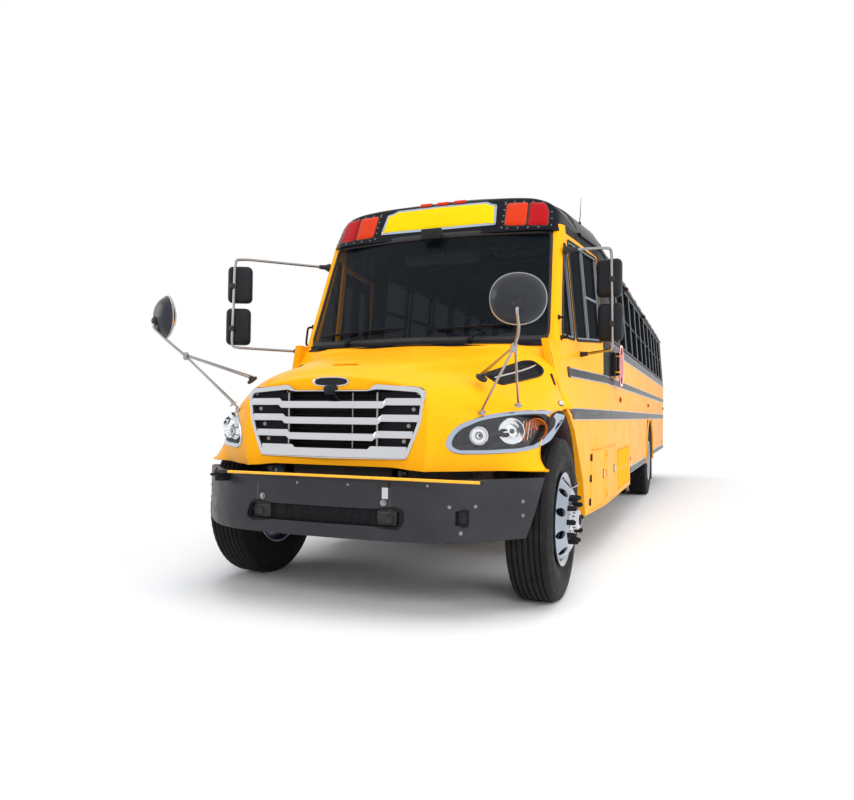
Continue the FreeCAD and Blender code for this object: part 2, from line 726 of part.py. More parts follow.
door_start = size("door_start", 1120, "front axle back to the entrance")
door_long = size("door_long", 760, "length of the entrance")
door_low = size("door_low", 430, "ground to the entrance door's lower edge")
door_high = size("door_high", 2500, "ground to the entrance door's upper edge")
leaf_thick = size("leaf_thick", 34, "thickness of an entrance door leaf")
head_play = size("head_play", 8, "gap over an entrance door leaf, which rises as it swings")
door_middle = door_start + door_long / 2


def panel(start, end, low, high, depth, thick):
    """A sheet that follows the body's side, at a depth behind the outer skin."""
    sections = []
    for along in (start, end):
        outer = side_points(along, low, high, depth)
        inner = side_points(along, low, high, depth + thick)
        sections.append(outline("XZ", outer + inner[::-1], along))
    return loft(sections)


door_cut = box((0, door_start, 0), (WIDE, door_start + door_long, door_high))
right_wall = cut(side_wall(), arch_cut, skirt_cut, pillar_cut, edge_cut(door_quarter_edge),
                 door_cut, *window_cuts)
# Each wall is parted at the top of the rear arch: the skirt's panels hang under the side.
skirt_room = box((0, 0, 0), (WIDE, body_end, rear_arch_top))
node("body_side_right", mirrored(cut(right_wall, skirt_room)))
node("skirt_right", mirrored(common(right_wall, skirt_room)))
node("skirt_left", common(left_cut, skirt_room))

pane = size("pane", 8, "thickness of a window pane")
door_glass = ((1500, 2400), (620, 1380))      # heights of a leaf's upper and lower glass
leaf_frame = size("leaf_frame", 55, "width of a door leaf's frame around its glass")


def door_line(along):
    """The straight outer line of an entrance door leaf, from its foot to its head."""
    return [(half_width(along, height), height) for height in (door_low, door_high - head_play)]


def door_leaf(start, end):
    sections = []
    for along in (start, end):
        outer = door_line(along)
        inner = [(wide - leaf_thick, height) for wide, height in outer]
        sections.append(outline("XZ", outer + inner[::-1], along))
    panes = [box((0, start + leaf_frame, low), (WIDE, end - leaf_frame, high))
             for low, high in door_glass]
    pane_sheet = loft([outline("XZ", [(wide - side, height) for (wide, height), side in
                                      zip(door_line(along) + door_line(along)[::-1],
                                          (12, 12, 12 + pane, 12 + pane))], along)
                       for along in (start, end)])
    return mirrored(joined(cut(loft(sections), *panes), pane_sheet))


node("entrance_door_front", door_leaf(door_start + GAP, door_middle - door_play / 2))
node("entrance_door_rear", door_leaf(door_middle + door_play / 2, door_start + door_long - GAP))

# ---------------------------------------------------------------- cowl, floor and steps

front_frame = cut(screen_sheet(0, pillar), screen_cutter(opening_edge))
cowl_room = core(wall, sill_high, roof_edge, cab_front, wall_inner_end)
cowl_outline = [(cab_front, 1600), (cab_front, 1660), (372, glass_foot), (640, glass_foot),
                (640, glass_foot - 50), (420, glass_foot - 50), (cab_front + 40, 1626),
                (cab_front + 40, 1600)]
firewall_y = size("firewall_y", 600, "front axle back to the firewall")
cowl_top = common(prism("YZ", cowl_outline, -WIDE, WIDE), cowl_room)
fire_room = core(wall, rail_top, roof_edge, cab_front, wall_inner_end)
firewall = common(box((-WIDE, firewall_y, floor_top - floor_thick),
                      (WIDE, firewall_y + 40, glass_foot)), fire_room)
node("cab_front", joined(front_frame, cowl_top, firewall))

step_in = size("step_in", 640, "middle of the bus to the inner side of the steps")
step_thick = size("step_thick", 30, "thickness of the steps")
tread_heights = (415, 620, 825)
floor_low = floor_top - floor_thick
floor_room = core(wall, floor_low, 2000, cab_front, wall_inner_end)
floor_slab = common(box((-WIDE, firewall_y + 40, floor_low), (WIDE, wall_inner_end, floor_top)),
                    floor_room)
stair_cut = box((-WIDE, door_start, 0), (-step_in, door_start + door_long, 2000))
well_in = size("well_in", 560, "middle of the bus to a rear wheel housing's inner side")
well_start = wheelbase - rear_arch_half
well_end = wheelbase + rear_arch_half
well_high = rear_arch_top + 50


def wheel_housing(side):
    low_x = well_in if side > 0 else -body_half + wall
    high_x = body_half - wall if side > 0 else -well_in
    whole = box((low_x, well_start - 30, floor_low), (high_x, well_end + 30, well_high))
    return whole


housed = cut(joined(cut(floor_slab, stair_cut), wheel_housing(1), wheel_housing(-1)),
             box((well_in + 30, well_start, 0), (WIDE, well_end, rear_arch_top + 20)),
             box((-WIDE, well_start, 0), (-well_in - 30, well_end, rear_arch_top + 20)))
joists = [box((-rail_half - 300, y, rail_top), (rail_half + 300, y + 50, floor_low))
          for y in range(1000, 10200, 1150) if abs(y - float(wheelbase)) > 700]
node("floor", joined(housed, *joists))

stair_outer = cab_section(door_start, wall)[0][0]
step_depth = (stair_outer - step_in) / 3
steps = []
for place, height in enumerate(tread_heights):
    out_x = -stair_outer + step_depth * place
    in_x = out_x + step_depth
    top = tread_heights[place + 1] if place < 2 else floor_top
    steps.append(box((out_x, door_start + GAP, height - step_thick),
                     (in_x + step_thick, door_start + door_long - GAP, height)))
    steps.append(box((in_x, door_start + GAP, height - step_thick),
                     (in_x + step_thick, door_start + door_long - GAP, top)))
node("entrance_steps", cut(joined(*steps),
                           box((-step_in, 0, 0), (0, 3000, 3000))))

# ---------------------------------------------------------------- roof, cap and rear wall

roof_shape = (
    # share of the half width, share of the rise
    (0, 1), (0.42, 0.94), (0.72, 0.77), (0.93, 0.45), (1, 0),
)
cap_end = size("cap_end", 1300, "front axle back to the end of the roof cap")


def roof_half_outline(along, inset=0):
    half = cab_section(along)[-1][0] - inset
    rise = roof_rise - inset
    return [(half * wide, roof_edge + rise * up) for wide, up in roof_shape]


def roof_section(along):
    outer = both_sides(roof_half_outline(along))
    inner = both_sides(roof_half_outline(along, wall))
    turn = len(roof_shape)
    outer = outer[turn:] + outer[:turn]
    inner = inner[turn:] + inner[:turn]
    return outline("XZ", outer + inner[::-1], along)


hatch_y = (size("hatch_front", 3300, "front axle back to the front roof hatch"),
           size("hatch_rear", 8300, "front axle back to the rear roof hatch"))
hatch_half = size("hatch_half", 300, "half width of a roof hatch's hole")
roof_crown = roof_edge + roof_rise
hatch_holes = [box((-hatch_half, y - hatch_half, roof_edge),
                   (hatch_half, y + hatch_half, roof_crown + 100)) for y in hatch_y]
curb_low = roof_crown - 60
curbs = [cut(box((-hatch_half - 25, y - hatch_half - 25, curb_low),
                 (hatch_half + 25, y + hatch_half + 25, roof_crown + 12)),
             box((-hatch_half, y - hatch_half, roof_edge),
                 (hatch_half, y + hatch_half, roof_crown + 100))) for y in hatch_y]
roof_shell = loft([roof_section(cap_end), roof_section(cab_end), roof_section(wall_inner_end)])
node("roof", joined(cut(roof_shell, *hatch_holes), *curbs))

hatch_lid = size("hatch_lid", 28, "thickness of a roof hatch's lid")
for name, y in zip(("roof_hatch_front", "roof_hatch_rear"), hatch_y):
    lid_low = roof_crown + 12 + GAP
    node(name, joined(box((-hatch_half - 40, y - hatch_half - 40, lid_low),
                          (hatch_half + 40, y + hatch_half + 40, lid_low + hatch_lid))))

# The cap: a raked face under a crown, cut from the front, the side and the plan.
cap_low = size("cap_low", 2640, "ground to the roof cap's lower edge")
cap_foot = size("cap_foot", 752, "front axle back to the cap's face at its lower edge")
cap_top = size("cap_top", 2950, "ground to the top edge of the cap's face")
cap_side = [(cap_foot, cap_low), (885, cap_top - 40), (930, cap_top), (1010, 2985),
            (cap_end, 3060), (cap_end, cap_low)]
cap_plan = both_sides([(0, 745), (520, 752), (760, 775), (930, 815), (1000, 905),
                       (1062, cap_end), (0, cap_end)])
cap_plan = cap_plan[:-1] if cap_plan[-1] == cap_plan[0] else cap_plan
cap_view = both_sides([(0, 3075), (460, 3045), (790, 2960), (990, 2830), (1062, roof_edge),
                        (1050, cap_low), (0, cap_low)])
cap_solid = common(common(prism("YZ", cap_side, -WIDE, WIDE), prism("XY", cap_plan, 2500, 3200)),
                   prism("XZ", cap_view, 600, cap_end))
cap_room = prism("YZ", [(1010, 2500), (1010, 2880), (cap_end, 2990), (cap_end, 2500)], -985, 985)
cap_behind_glass = prism("YZ", [(600, 2500), (600, cap_low), (rake(cap_low) + pillar, cap_low),
                                (rake(roof_edge) + pillar, roof_edge), (1400, roof_edge),
                                (1400, 2500)], -WIDE, WIDE)
node("roof_cap", cut(cap_solid, cap_room, cap_behind_glass, screen_sheet(-1, pillar + 1)))

rear_door_half = size("rear_door_half", 470, "half width of the rear emergency door")
rear_door_low = size("rear_door_low", 1040, "ground to the rear door's lower edge")
rear_door_high = size("rear_door_high", 2480, "ground to the rear door's upper edge")
tail_half = [(0, roof_edge + roof_rise)]
tail_half += roof_half_outline(wall_inner_end)[1:]
tail_half += [(body_half, belt_height), (body_half, rear_low), (0, rear_low)]
tail_outline = tail_half + [(-1 * x, z) for x, z in reversed(tail_half[1:-1])]
rear_panel = prism("XZ", tail_outline, wall_inner_end, body_end)
rear_hole = box((-rear_door_half, wall_inner_end - 10, rear_door_low),
                (rear_door_half, body_end + 10, rear_door_high))
rear_window_head = size("rear_window_head", 2560, "ground to the head of a rear side window")
rear_windows = ((600, 1040), (-1040, -600))       # from X, to X
rear_side_holes = [box((low_x, wall_inner_end - 10, window_low),
                       (high_x, body_end + 10, rear_window_head))
                   for low_x, high_x in rear_windows]
node("rear_wall", cut(rear_panel, rear_hole, *rear_side_holes))

rear_leaf = box((-rear_door_half + GAP, wall_inner_end + 8, rear_door_low + door_play),
                (rear_door_half - door_play, body_end, rear_door_high - door_play))
rear_glass_heights = ((1180, 1560), (1800, 2380))
rear_glass_half = size("rear_glass_half", 330, "half width of the rear door's glass")
rear_pockets = [box((-rear_glass_half, near, low), (rear_glass_half, far, high))
                for low, high in rear_glass_heights
                for near, far in ((wall_inner_end, body_end - 12 - pane),
                                  (body_end - 12, body_end + 10))]
node("rear_door", cut(rear_leaf, *rear_pockets))

# Side and rear glass of the fixed body, in one sub-part: flat panes in their frames.
pane_set_in = size("pane_set_in", 20, "depth of a pane behind the outer skin")


def wall_pane(start, end, low, high):
    return panel(start, end, low, high, pane_set_in, pane)


panes = []
for along in window_starts():
    sheet_pane = wall_pane(along, along + window_long, window_low, window_high)
    panes += [sheet_pane, mirrored(sheet_pane)]
for edge, curb in ((quarter_edge, False), (driver_edge, False), (door_quarter_edge, True)):
    reach = [float(y) for y, z in edge]
    cab_pane = common(wall_pane(min(reach) - 5, max(reach) + 5, cab_window_low - 5,
                                cab_window_high + 5), edge_cut(edge))
    panes.append(mirrored(cab_pane) if curb else cab_pane)
for low_x, high_x in rear_windows:
    panes.append(box((low_x, body_end - pane_set_in - pane, window_low),
                     (high_x, body_end - pane_set_in, rear_window_head)))
node("body_windows", group(*panes))

# ---------------------------------------------------------------- hood, grille and lamps

hood_low = size("hood_low", 870, "ground to the hood's lower edge")
hood_skin = size("hood_skin", 22, "thickness of the hood")
hood_end = size("hood_end", 300, "front axle back to the hood's rear edge")
hood_table = (
    # along, then half outlines (out, up) from the middle to the lower edge
    (nose_front, ((0, 1405), (300, 1385), (500, 1350), (598, 1300), (605, 1150), (600, 1000),
                  (590, 900), (580, hood_low))),
    (-820, ((0, 1478), (300, 1462), (560, 1405), (690, 1320), (730, 1180), (740, 1040),
            (735, 920), (725, hood_low))),
    (-660, ((0, 1528), (350, 1508), (640, 1440), (790, 1340), (870, 1210), (915, 1060),
            (920, 940), (915, hood_low))),
    (-490, ((0, 1560), (400, 1540), (700, 1480), (850, 1400), (1000, 1275), (1100, 1200),
            (1165, 1080), (1176, hood_low))),
    (-200, ((0, 1615), (420, 1595), (760, 1530), (900, 1430), (1000, 1330), (1120, 1262),
            (1190, 1180), (1196, hood_low))),
    (116, ((0, 1665), (450, 1648), (820, 1590), (960, 1480), (1030, 1360), (1120, 1290),
           (1192, 1235), (1198, hood_low))),
    (hood_end, ((0, 1690), (450, 1672), (850, 1625), (1000, 1530), (1040, 1400), (1110, 1300),
                (1192, 1250), (1198, hood_low))),
)


def hood_loft(inset):
    sections = []
    for along, half in hood_table:
        if inset and along is nose_front:
            along = nose_front + hood_skin
        shrunk = []
        for out, up in half:
            low_point = up is hood_low
            shrunk.append((out - inset if out else 0,
                           up - (30 if inset else 0) if low_point else up - inset))
        sections.append(outline("XZ", both_sides(shrunk), along))
    if inset:
        last = sections.pop()
        sections.append(last)
        put(last, 0, hood_end + 1, 0, last.Placement.Rotation)
    return loft(sections)


fender_cut = prism("YZ", [(-468, 400), (-468, hood_low), (-440, 960), (-350, 1080),
                          (-200, 1170), (-50, 1210), (116, 1218), (205, 1240), (320, 1240),
                          (320, 400)], -WIDE, WIDE)
grille_half_outline = [(0, 1385), (270, 1367), (300, 1355), (560, 1330), (588, 1300),
                       (560, 1150), (478, 935), (0, 928)]
grille_shape = both_sides(grille_half_outline)
grille_hole = [(x * 0.94, 1150 + (z - 1150) * 0.9) for x, z in grille_shape]
lamp_edge = [(705, 1015), (742, 1112), (850, 1175), (1000, 1208), (1168, 1214), (1174, 1120),
             (1125, 1018), (950, 985)]
lamp_edges = (lamp_edge, [(-1 * out, up) for out, up in reversed(lamp_edge)])
hood_lugs = []
for side in (1, -1):
    lug_x = hinge_out + GAP if side > 0 else -hinge_out - 18
    lug = box((lug_x, nose_front + 10, hood_pivot_z - 16),
              (lug_x + 18 - GAP, hood_pivot_y + 18, hood_pivot_z + 80))
    hood_lugs.append(cut(lug, cylinder("X", (-WIDE, hood_pivot_y, hood_pivot_z),
                                       hood_pin + GAP, 2 * WIDE)))
skin = cut(hood_loft(0), hood_loft(hood_skin))
hood_shell = cut(skin, fender_cut, prism("XZ", grille_hole, -1000, -880),
                 *[prism("XZ", edge, -1000, -300) for edge in lamp_edges])
node("hood", joined(hood_shell, *hood_lugs))
node("headlamps", group(*[common(skin, prism("XZ", edge, -1000, -300)) for edge in lamp_edges]))
frame_depth = size("frame_depth", 20, "how far the grille's frame stands out of the nose")
grille_frame = cut(prism("XZ", grille_shape, nose_front - frame_depth, nose_front),
                   prism("XZ", grille_hole, -1100, -880))
bar_heights = (1262, 1168, 1074, 985)
grille_bars = [common(box((-600, nose_front - 14, height - 32), (600, nose_front + 20, height + 32)),
                      prism("XZ", grille_hole, nose_front - 14, nose_front + 20))
               for height in bar_heights]
node("grille", joined(grille_frame, *grille_bars))

# ---------------------------------------------------------------- mirrors

tube = size("tube", 11, "radius of the mirrors' tubes")
crossover_feet = ((850, -677, 1217), (1019, -500, 1262), (816, -573, 1430))
crossover_knot = (1097, -903, 1558)
crossover_pivot = (1180, -1080, 1740)
crossover_head = (1151, -1050, 1799)


def ellipsoid(centre, depth, wide, high, facing):
    dome = doc.addObject("Part::Ellipsoid", "Dome")
    dome.Radius1 = depth
    dome.Radius2 = high
    dome.Radius3 = wide
    dome.Angle1 = -90
    return put(dome, *centre, Rotation(Vector(0, 0, 1), Vector(*facing)))


legs = [bar(crossover_knot, foot, tube) for foot in crossover_feet]
crossover = joined(*legs, bar(crossover_knot, crossover_pivot, tube), ball(crossover_knot, 17),
                   *[ball(foot, 22) for foot in crossover_feet],
                   ellipsoid(crossover_head, 60, 132, 147, (-0.25, 1, 0.15)))
crossover = cut(crossover, hood_loft(0))
node("hood_mirrors", group(crossover, mirrored(crossover)))

# Flat mirrors on arms: the driver's stand beside the window, the others reach ahead.
arm_table = (
    # the corners of an arm, from its upper foot to its lower foot
    ((1000, 846, 2475), (1370, 950, 2489), (1385, 970, 1720), (1100, 1000, 1685)),
    ((-1000, 846, 2475), (-1460, 100, 2405), (-1490, 100, 1720), (-1040, 480, 1705)),
)
head_half = (97, 40, 150)
head_table = (
    # arm, centre of a mirror's head
    (0, (1352, 965, 2270)), (0, (1360, 975, 1925)),
    (1, (-1462, 105, 2230)), (1, (-1474, 105, 1890)),
)
arm_sets = []
for place, corners in enumerate(arm_table):
    runs = [bar(start, end, tube) for start, end in zip(corners, corners[1:])]
    bends = [ball(corner, tube) for corner in corners[1:-1]]
    heads = [box(tuple(c - r for c, r in zip(centre, head_half)),
                 tuple(c + r for c, r in zip(centre, head_half)))
             for arm, centre in head_table if arm == place]
    wall_side = left_wall if place == 0 else mirrored(left_wall)
    arm_sets.append(cut(joined(*runs, *bends, *heads), wall_side, screen_sheet(0, pillar)))
node("side_mirrors", group(*arm_sets))

# ---------------------------------------------------------------- bumpers and arms

bumper_half = (
    # half plan of the bumper's face: out, along from its middle
    (0, 0), (340, 12), (600, 50), (760, 118), (900, 225), (1040, 375), (1130, 480), (1181, 572),
)
face_line = [(out, bumper_face + along) for out, along in bumper_half]
back_half = ((0, plate), (338, 12 + plate), (596, 60), (754, 127), (893, 233), (1032, 382),
             (1122, 486), (1171, 576))
back_line = [(out, bumper_face + along) for out, along in back_half]
ahead = both_sides(face_line)
behind = both_sides(back_line)
count = len(face_line)
ring = ahead[count:] + ahead[:count] + (behind[count:] + behind[:count])[::-1]
bumper_end_cut = prism("YZ", [(-618, bumper_low - 10), (-612, bumper_low + 15),
                              (-490, bumper_high), (-490, bumper_high + 10),
                              (-300, bumper_high + 10), (-300, bumper_low - 10)], -WIDE, WIDE)
slot = box((-474, bumper_face - 50, 565), (474, bumper_face + 60, 665))
arm_hinge_x = size("arm_hinge_x", -700, "middle of the bus to the crossing arm's hinge")
arm_hinge_y = bumper_face - 24
arm_pin = size("arm_pin", 6, "radius of the crossing arm's hinge pin")
arm_bracket = joined(box((arm_hinge_x - 20, arm_hinge_y - 16, bumper_high - 14),
                         (arm_hinge_x + 20, bumper_face + 135, bumper_high - 4)),
                     cylinder("Z", (arm_hinge_x, arm_hinge_y, bumper_high - 6), arm_pin, 34))
node("front_bumper", joined(cut(prism("XY", ring, bumper_low, bumper_high), bumper_end_cut, slot),
                            arm_bracket))
boss_low = bumper_high - 4 + GAP
crossing_long = size("crossing_long", 1697, "length of the crossing arm")
node("crossing_arm", cut(joined(cylinder("Z", (arm_hinge_x, arm_hinge_y, boss_low), 14, 20),
                                cylinder("X", (arm_hinge_x, arm_hinge_y, boss_low + 10), 8,
                                         crossing_long)),
                         cylinder("Z", (arm_hinge_x, arm_hinge_y, boss_low - 10), arm_pin + GAP, 60)))

rear_bumper_deep = size("rear_bumper_deep", 100, "depth of the rear bumper")
rear_ring = [(-1200, body_end), (-1200, body_end + 60), (-1130, body_end + rear_bumper_deep),
             (1130, body_end + rear_bumper_deep), (1200, body_end + 60), (1200, body_end),
             (1190, body_end), (1190, body_end + 56), (1126, body_end + rear_bumper_deep - plate),
             (-1126, body_end + rear_bumper_deep - plate), (-1190, body_end + 56),
             (-1190, body_end)]
bumper_stays = [box((side * 400 - 30, body_end, 680), (side * 400 + 30,
                                                     body_end + rear_bumper_deep - plate + 2, 740))
                for side in (1, -1)]
node("rear_bumper", joined(prism("XY", rear_ring, 600, 830), *bumper_stays))

stop_middle_y = size("stop_middle_y", 2490, "front axle back to the stop arm's middle")
stop_middle_z = size("stop_middle_z", 1686, "ground to the stop arm's middle")
stop_half = size("stop_half", 200, "half width across the stop arm's flats")
stop_hinge_y = stop_middle_y - stop_half - 45
stop_hinge_x = body_half + 62
corner_half = stop_half * math.tan(math.pi / 8)
octagon = [(stop_middle_y + a, stop_middle_z + b) for a, b in (
    (stop_half, corner_half), (corner_half, stop_half), (-corner_half, stop_half),
    (-stop_half, corner_half), (-stop_half, -corner_half), (-corner_half, -stop_half),
    (corner_half, -stop_half), (stop_half, -corner_half))]
stop_post = joined(
    box((body_half, stop_hinge_y - 30, stop_middle_z - 110),
        (body_half + 40, stop_hinge_y + 30, stop_middle_z + 110)),
    *[box((body_half + 30, stop_hinge_y - 14, stop_middle_z + low),
          (stop_hinge_x + 14, stop_hinge_y + 14, stop_middle_z + low + 20)) for low in (-90, 70)],
    cylinder("Z", (stop_hinge_x, stop_hinge_y, stop_middle_z - 80), 8, 160))
stop_blade = joined(
    prism("YZ", octagon, stop_hinge_x - 5, stop_hinge_x + 7),
    cut(joined(cylinder("Z", (stop_hinge_x, stop_hinge_y, stop_middle_z - 70 + GAP), 14,
                        140 - 2 * GAP),
               box((stop_hinge_x - 5, stop_hinge_y, stop_middle_z - 60),
                   (stop_hinge_x + 7, stop_middle_y - stop_half + 10, stop_middle_z + 60))),
        cylinder("Z", (stop_hinge_x, stop_hinge_y, stop_middle_z - 200), 8 + GAP, 400)))
node("stop_arm", stop_blade)
node("body_side_left", joined(cut(left_cut, skirt_room), stop_post))

for name, start, long in (("battery_door", battery_start, battery_long),
                          ("locker_door", locker_start, locker_long)):
    node(name, panel(start + GAP, start + long - door_play / 2,
                     battery_low + door_play / 2, battery_high - door_play / 2, 0, skin_door))

# ---------------------------------------------------------------- inside

seat_pitch = size("seat_pitch", 706, "spacing of the rows of seats")
seat_first = size("seat_first", 2420, "front axle back to the first row")
aisle_half = size("aisle_half", 190, "half width of the aisle")
seat_out = size("seat_out", 1140, "middle of the bus to a bench's outer end")
cushion_low = size("cushion_low", 1330, "ground to the underside of a bench")
back_high = size("back_high", 2040, "ground to the top of a bench's back")
seat_rows = 11
benches = []
pedestals = []
for row in range(seat_rows):
    y = seat_first + seat_pitch * row
    bench = [(y, cushion_low), (y - 10, cushion_low + 90), (y + 25, cushion_low + 130),
             (y + 395, cushion_low + 105), (y + 440, back_high), (y + 500, back_high),
             (y + 480, cushion_low)]
    solid = prism("YZ", bench, aisle_half, seat_out)
    benches += [solid, mirrored(solid)]
    foot = joined(box((aisle_half + 40, y + 60, floor_top), (aisle_half + 90, y + 420,
                                                              floor_top + 12)),
                  box((aisle_half + 52, y + 110, floor_top), (aisle_half + 78, y + 370,
                                                               cushion_low)))
    pedestals += [foot, mirrored(foot)]
barrier = box((aisle_half, seat_first - 460, floor_top + 120), (seat_out, seat_first - 410,
                                                                floor_top + 900))
barrier_legs = [box((x, seat_first - 450, floor_top), (x + 40, seat_first - 420, floor_top + 120))
                for x in (aisle_half + 40, seat_out - 100)]
node("passenger_seats", group(*benches, barrier, mirrored(barrier)))
node("seat_legs", group(*pedestals, *barrier_legs, *[mirrored(leg) for leg in barrier_legs]))

driver_x = size("driver_x", 600, "middle of the bus to the driver's place")
driver_y = size("driver_y", 1290, "front axle back to the front of the driver's seat")
driver_seat = [(driver_y, 1450), (driver_y + 20, 1530), (driver_y + 430, 1500),
               (driver_y + 500, 2160), (driver_y + 590, 2160), (driver_y + 540, 1420),
               (driver_y + 400, 1420), (driver_y + 400, floor_top), (driver_y + 100, floor_top),
               (driver_y + 100, 1420)]
node("driver_seat", prism("YZ", driver_seat, driver_x - 245, driver_x + 245))

wheel_centre = (driver_x, 1075, 1700)
wheel_tilt = Vector(0, 0.62, 0.785)
rim_ring = doc.addObject("Part::Torus", "Ring")
rim_ring.Radius1 = 225
rim_ring.Radius2 = 16
put(rim_ring, *wheel_centre, Rotation(Vector(0, 0, 1), wheel_tilt))


def on_column(reach):
    """A point on the steering column's line; reach is measured from the wheel's plane."""
    return (driver_x, wheel_centre[1] + wheel_tilt.y * reach, wheel_centre[2] + wheel_tilt.z * reach)


spoke_end = [(driver_x + 225, wheel_centre[1], wheel_centre[2]),
             (driver_x - 225, wheel_centre[1], wheel_centre[2]),
             (driver_x, wheel_centre[1] + wheel_tilt.z * 225, wheel_centre[2] - wheel_tilt.y * 225)]
node("steering_wheel", joined(rim_ring, bar(on_column(-45), on_column(12), 55),
                              *[bar(on_column(-10), end, 13) for end in spoke_end]))
dash = [(firewall_y + 40, 1250), (firewall_y + 40, 1690), (760, 1705), (880, 1640), (940, 1500),
        (880, 1250)]
dash_room = core(wall, 1240, 1720, cab_front, wall_inner_end)
node("dashboard", joined(common(prism("YZ", dash, -WIDE, WIDE), dash_room),
                         bar(on_column(-260), on_column(-45.5), 38)))

# ---------------------------------------------------------------- check and write

doc.recompute()
broken = [thing.Name for thing in doc.Objects if {"Invalid", "Error"} & set(thing.State)]
for name, piece in nodes.items():
    if piece.Shape.isNull() or not piece.Shape.isValid() or not piece.Shape.Solids:
        broken.append(name)
if broken:
    raise SystemExit(f"these did not build: {broken}")
os.makedirs("parts", exist_ok=True)
for name, piece in nodes.items():
    piece.Shape.exportStep(f"parts/{name}.step")
    print(name, len(piece.Shape.Solids), round(piece.Shape.Volume / 1e6, 2))
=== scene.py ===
import json
import math

import bmesh
import bpy
from mathutils import Matrix, Vector
from mathutils.bvhtree import BVHTree


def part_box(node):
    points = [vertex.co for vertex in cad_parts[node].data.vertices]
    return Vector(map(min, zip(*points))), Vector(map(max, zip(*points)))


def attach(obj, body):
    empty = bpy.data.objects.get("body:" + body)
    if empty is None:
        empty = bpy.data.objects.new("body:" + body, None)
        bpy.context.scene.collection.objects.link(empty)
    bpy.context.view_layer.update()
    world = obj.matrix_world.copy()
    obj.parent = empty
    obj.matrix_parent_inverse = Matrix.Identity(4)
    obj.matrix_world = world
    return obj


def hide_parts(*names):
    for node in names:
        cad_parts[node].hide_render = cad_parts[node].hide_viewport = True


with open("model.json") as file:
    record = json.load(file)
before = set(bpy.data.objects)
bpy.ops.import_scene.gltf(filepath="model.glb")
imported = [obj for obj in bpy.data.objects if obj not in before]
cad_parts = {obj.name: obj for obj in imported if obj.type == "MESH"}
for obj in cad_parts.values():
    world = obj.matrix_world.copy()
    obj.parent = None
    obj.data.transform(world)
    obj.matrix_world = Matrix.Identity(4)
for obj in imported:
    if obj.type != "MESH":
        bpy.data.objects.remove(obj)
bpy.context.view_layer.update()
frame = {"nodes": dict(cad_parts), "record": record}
nodes = frame["nodes"]

# Places are written in mm from the middle of the front axle at ground level: X to the driver's
# side, Y from the nose to the tail, Z up. AXLE is where that axle lies in the row frame.
tyre_low, tyre_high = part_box("front_tyre_left")
AXLE = (tyre_low.y + tyre_high.y) * 500
WHEELBASE = 6940
AXLE_UP = 525     # height of the wheels' axles
PITCH = 706       # from one side window to the next
EAVES = 2700      # top of the side walls
TAIL = 10500      # outer face of the rear wall
WORD = {1: "left", -1: "right"}


def at(x, y, z):
    """A place in mm as a point in the frame's metres."""
    return Vector((x, y + AXLE, z)) / 1000


# ---------------------------------------------------------------- materials

def linear(red, green, blue):
    """Display values from 0 to 255 as linear colour."""
    parts = [v / 255 for v in (red, green, blue)]
    return tuple(c / 12.92 if c <= 0.04045 else ((c + 0.055) / 1.055) ** 2.4 for c in parts)


class Nodes:
    """A material's node tree with short calls."""

    def __init__(self, name):
        self.material = bpy.data.materials.new(name)
        self.material.use_nodes = True
        self.tree = self.material.node_tree
        self.shader = self.tree.nodes["Principled BSDF"]
        self.place = self.add("ShaderNodeTexCoord").outputs["Object"]

    def add(self, kind, **settings):
        """A new node with these settings."""
        made = self.tree.nodes.new(kind)
        for word, value in settings.items():
            setattr(made, word, value)
        return made

    def link(self, start, end):
        self.tree.links.new(start, end)

    def noise(self, scale, detail=3.0, stretch=None, rough=0.5):
        """A noise's value, from 0 to 1, at the place on the piece."""
        made = self.add("ShaderNodeTexNoise")
        made.inputs["Scale"].default_value = scale
        made.inputs["Detail"].default_value = detail
        made.inputs["Roughness"].default_value = rough
        self.link(self.stretched(stretch), made.inputs["Vector"])
        return made.outputs["Fac"]

    def stretched(self, stretch):
        """The place on the piece, scaled along each axis where stretch is given."""
        if not stretch:
            return self.place
        mapping = self.add("ShaderNodeMapping")
        mapping.inputs["Scale"].default_value = stretch
        self.link(self.place, mapping.inputs["Vector"])
        return mapping.outputs["Vector"]

    def ranged(self, source, low, high, start=0.3, end=0.7):
        """The source's run from start to end, spread from low to high."""
        made = self.add("ShaderNodeMapRange")
        for word, value in (("From Min", start), ("From Max", end), ("To Min", low),
                            ("To Max", high)):
            made.inputs[word].default_value = value
        self.link(source, made.inputs["Value"])
        return made.outputs["Result"]

    def mixed(self, factor, first, second):
        """A colour between two, each a value or an output."""
        made = self.add("ShaderNodeMix", data_type="RGBA")
        self.link(factor, made.inputs["Factor"])
        for socket, value in (("A", first), ("B", second)):
            target = [s for s in made.inputs if s.name == socket and s.type == "RGBA"][0]
            if isinstance(value, tuple):
                target.default_value = (*value, 1)
            else:
                self.link(value, target)
        return [s for s in made.outputs if s.type == "RGBA"][0]

    def times(self, first, second):
        """The product of two, each a number or an output."""
        made = self.add("ShaderNodeMath", operation="MULTIPLY")
        for socket, value in zip(made.inputs, (first, second)):
            if isinstance(value, float):
                socket.default_value = value
            else:
                self.link(value, socket)
        return made.outputs[0]

    def height(self):
        """The height above the ground, in metres."""
        split = self.add("ShaderNodeSeparateXYZ")
        self.link(self.place, split.inputs[0])
        return split.outputs["Z"]

    def bump(self, source, strength, distance, under=None):
        """A normal raised by the source, on top of the one under it."""
        made = self.add("ShaderNodeBump")
        made.inputs["Strength"].default_value = strength
        made.inputs["Distance"].default_value = distance
        self.link(source, made.inputs["Height"])
        if under:
            self.link(under, made.inputs["Normal"])
        return made.outputs["Normal"]

    def set(self, **values):
        """Set the shader's inputs; a low line stands for a space."""
        for word, value in values.items():
            self.shader.inputs[word.replace("_", " ")].default_value = value


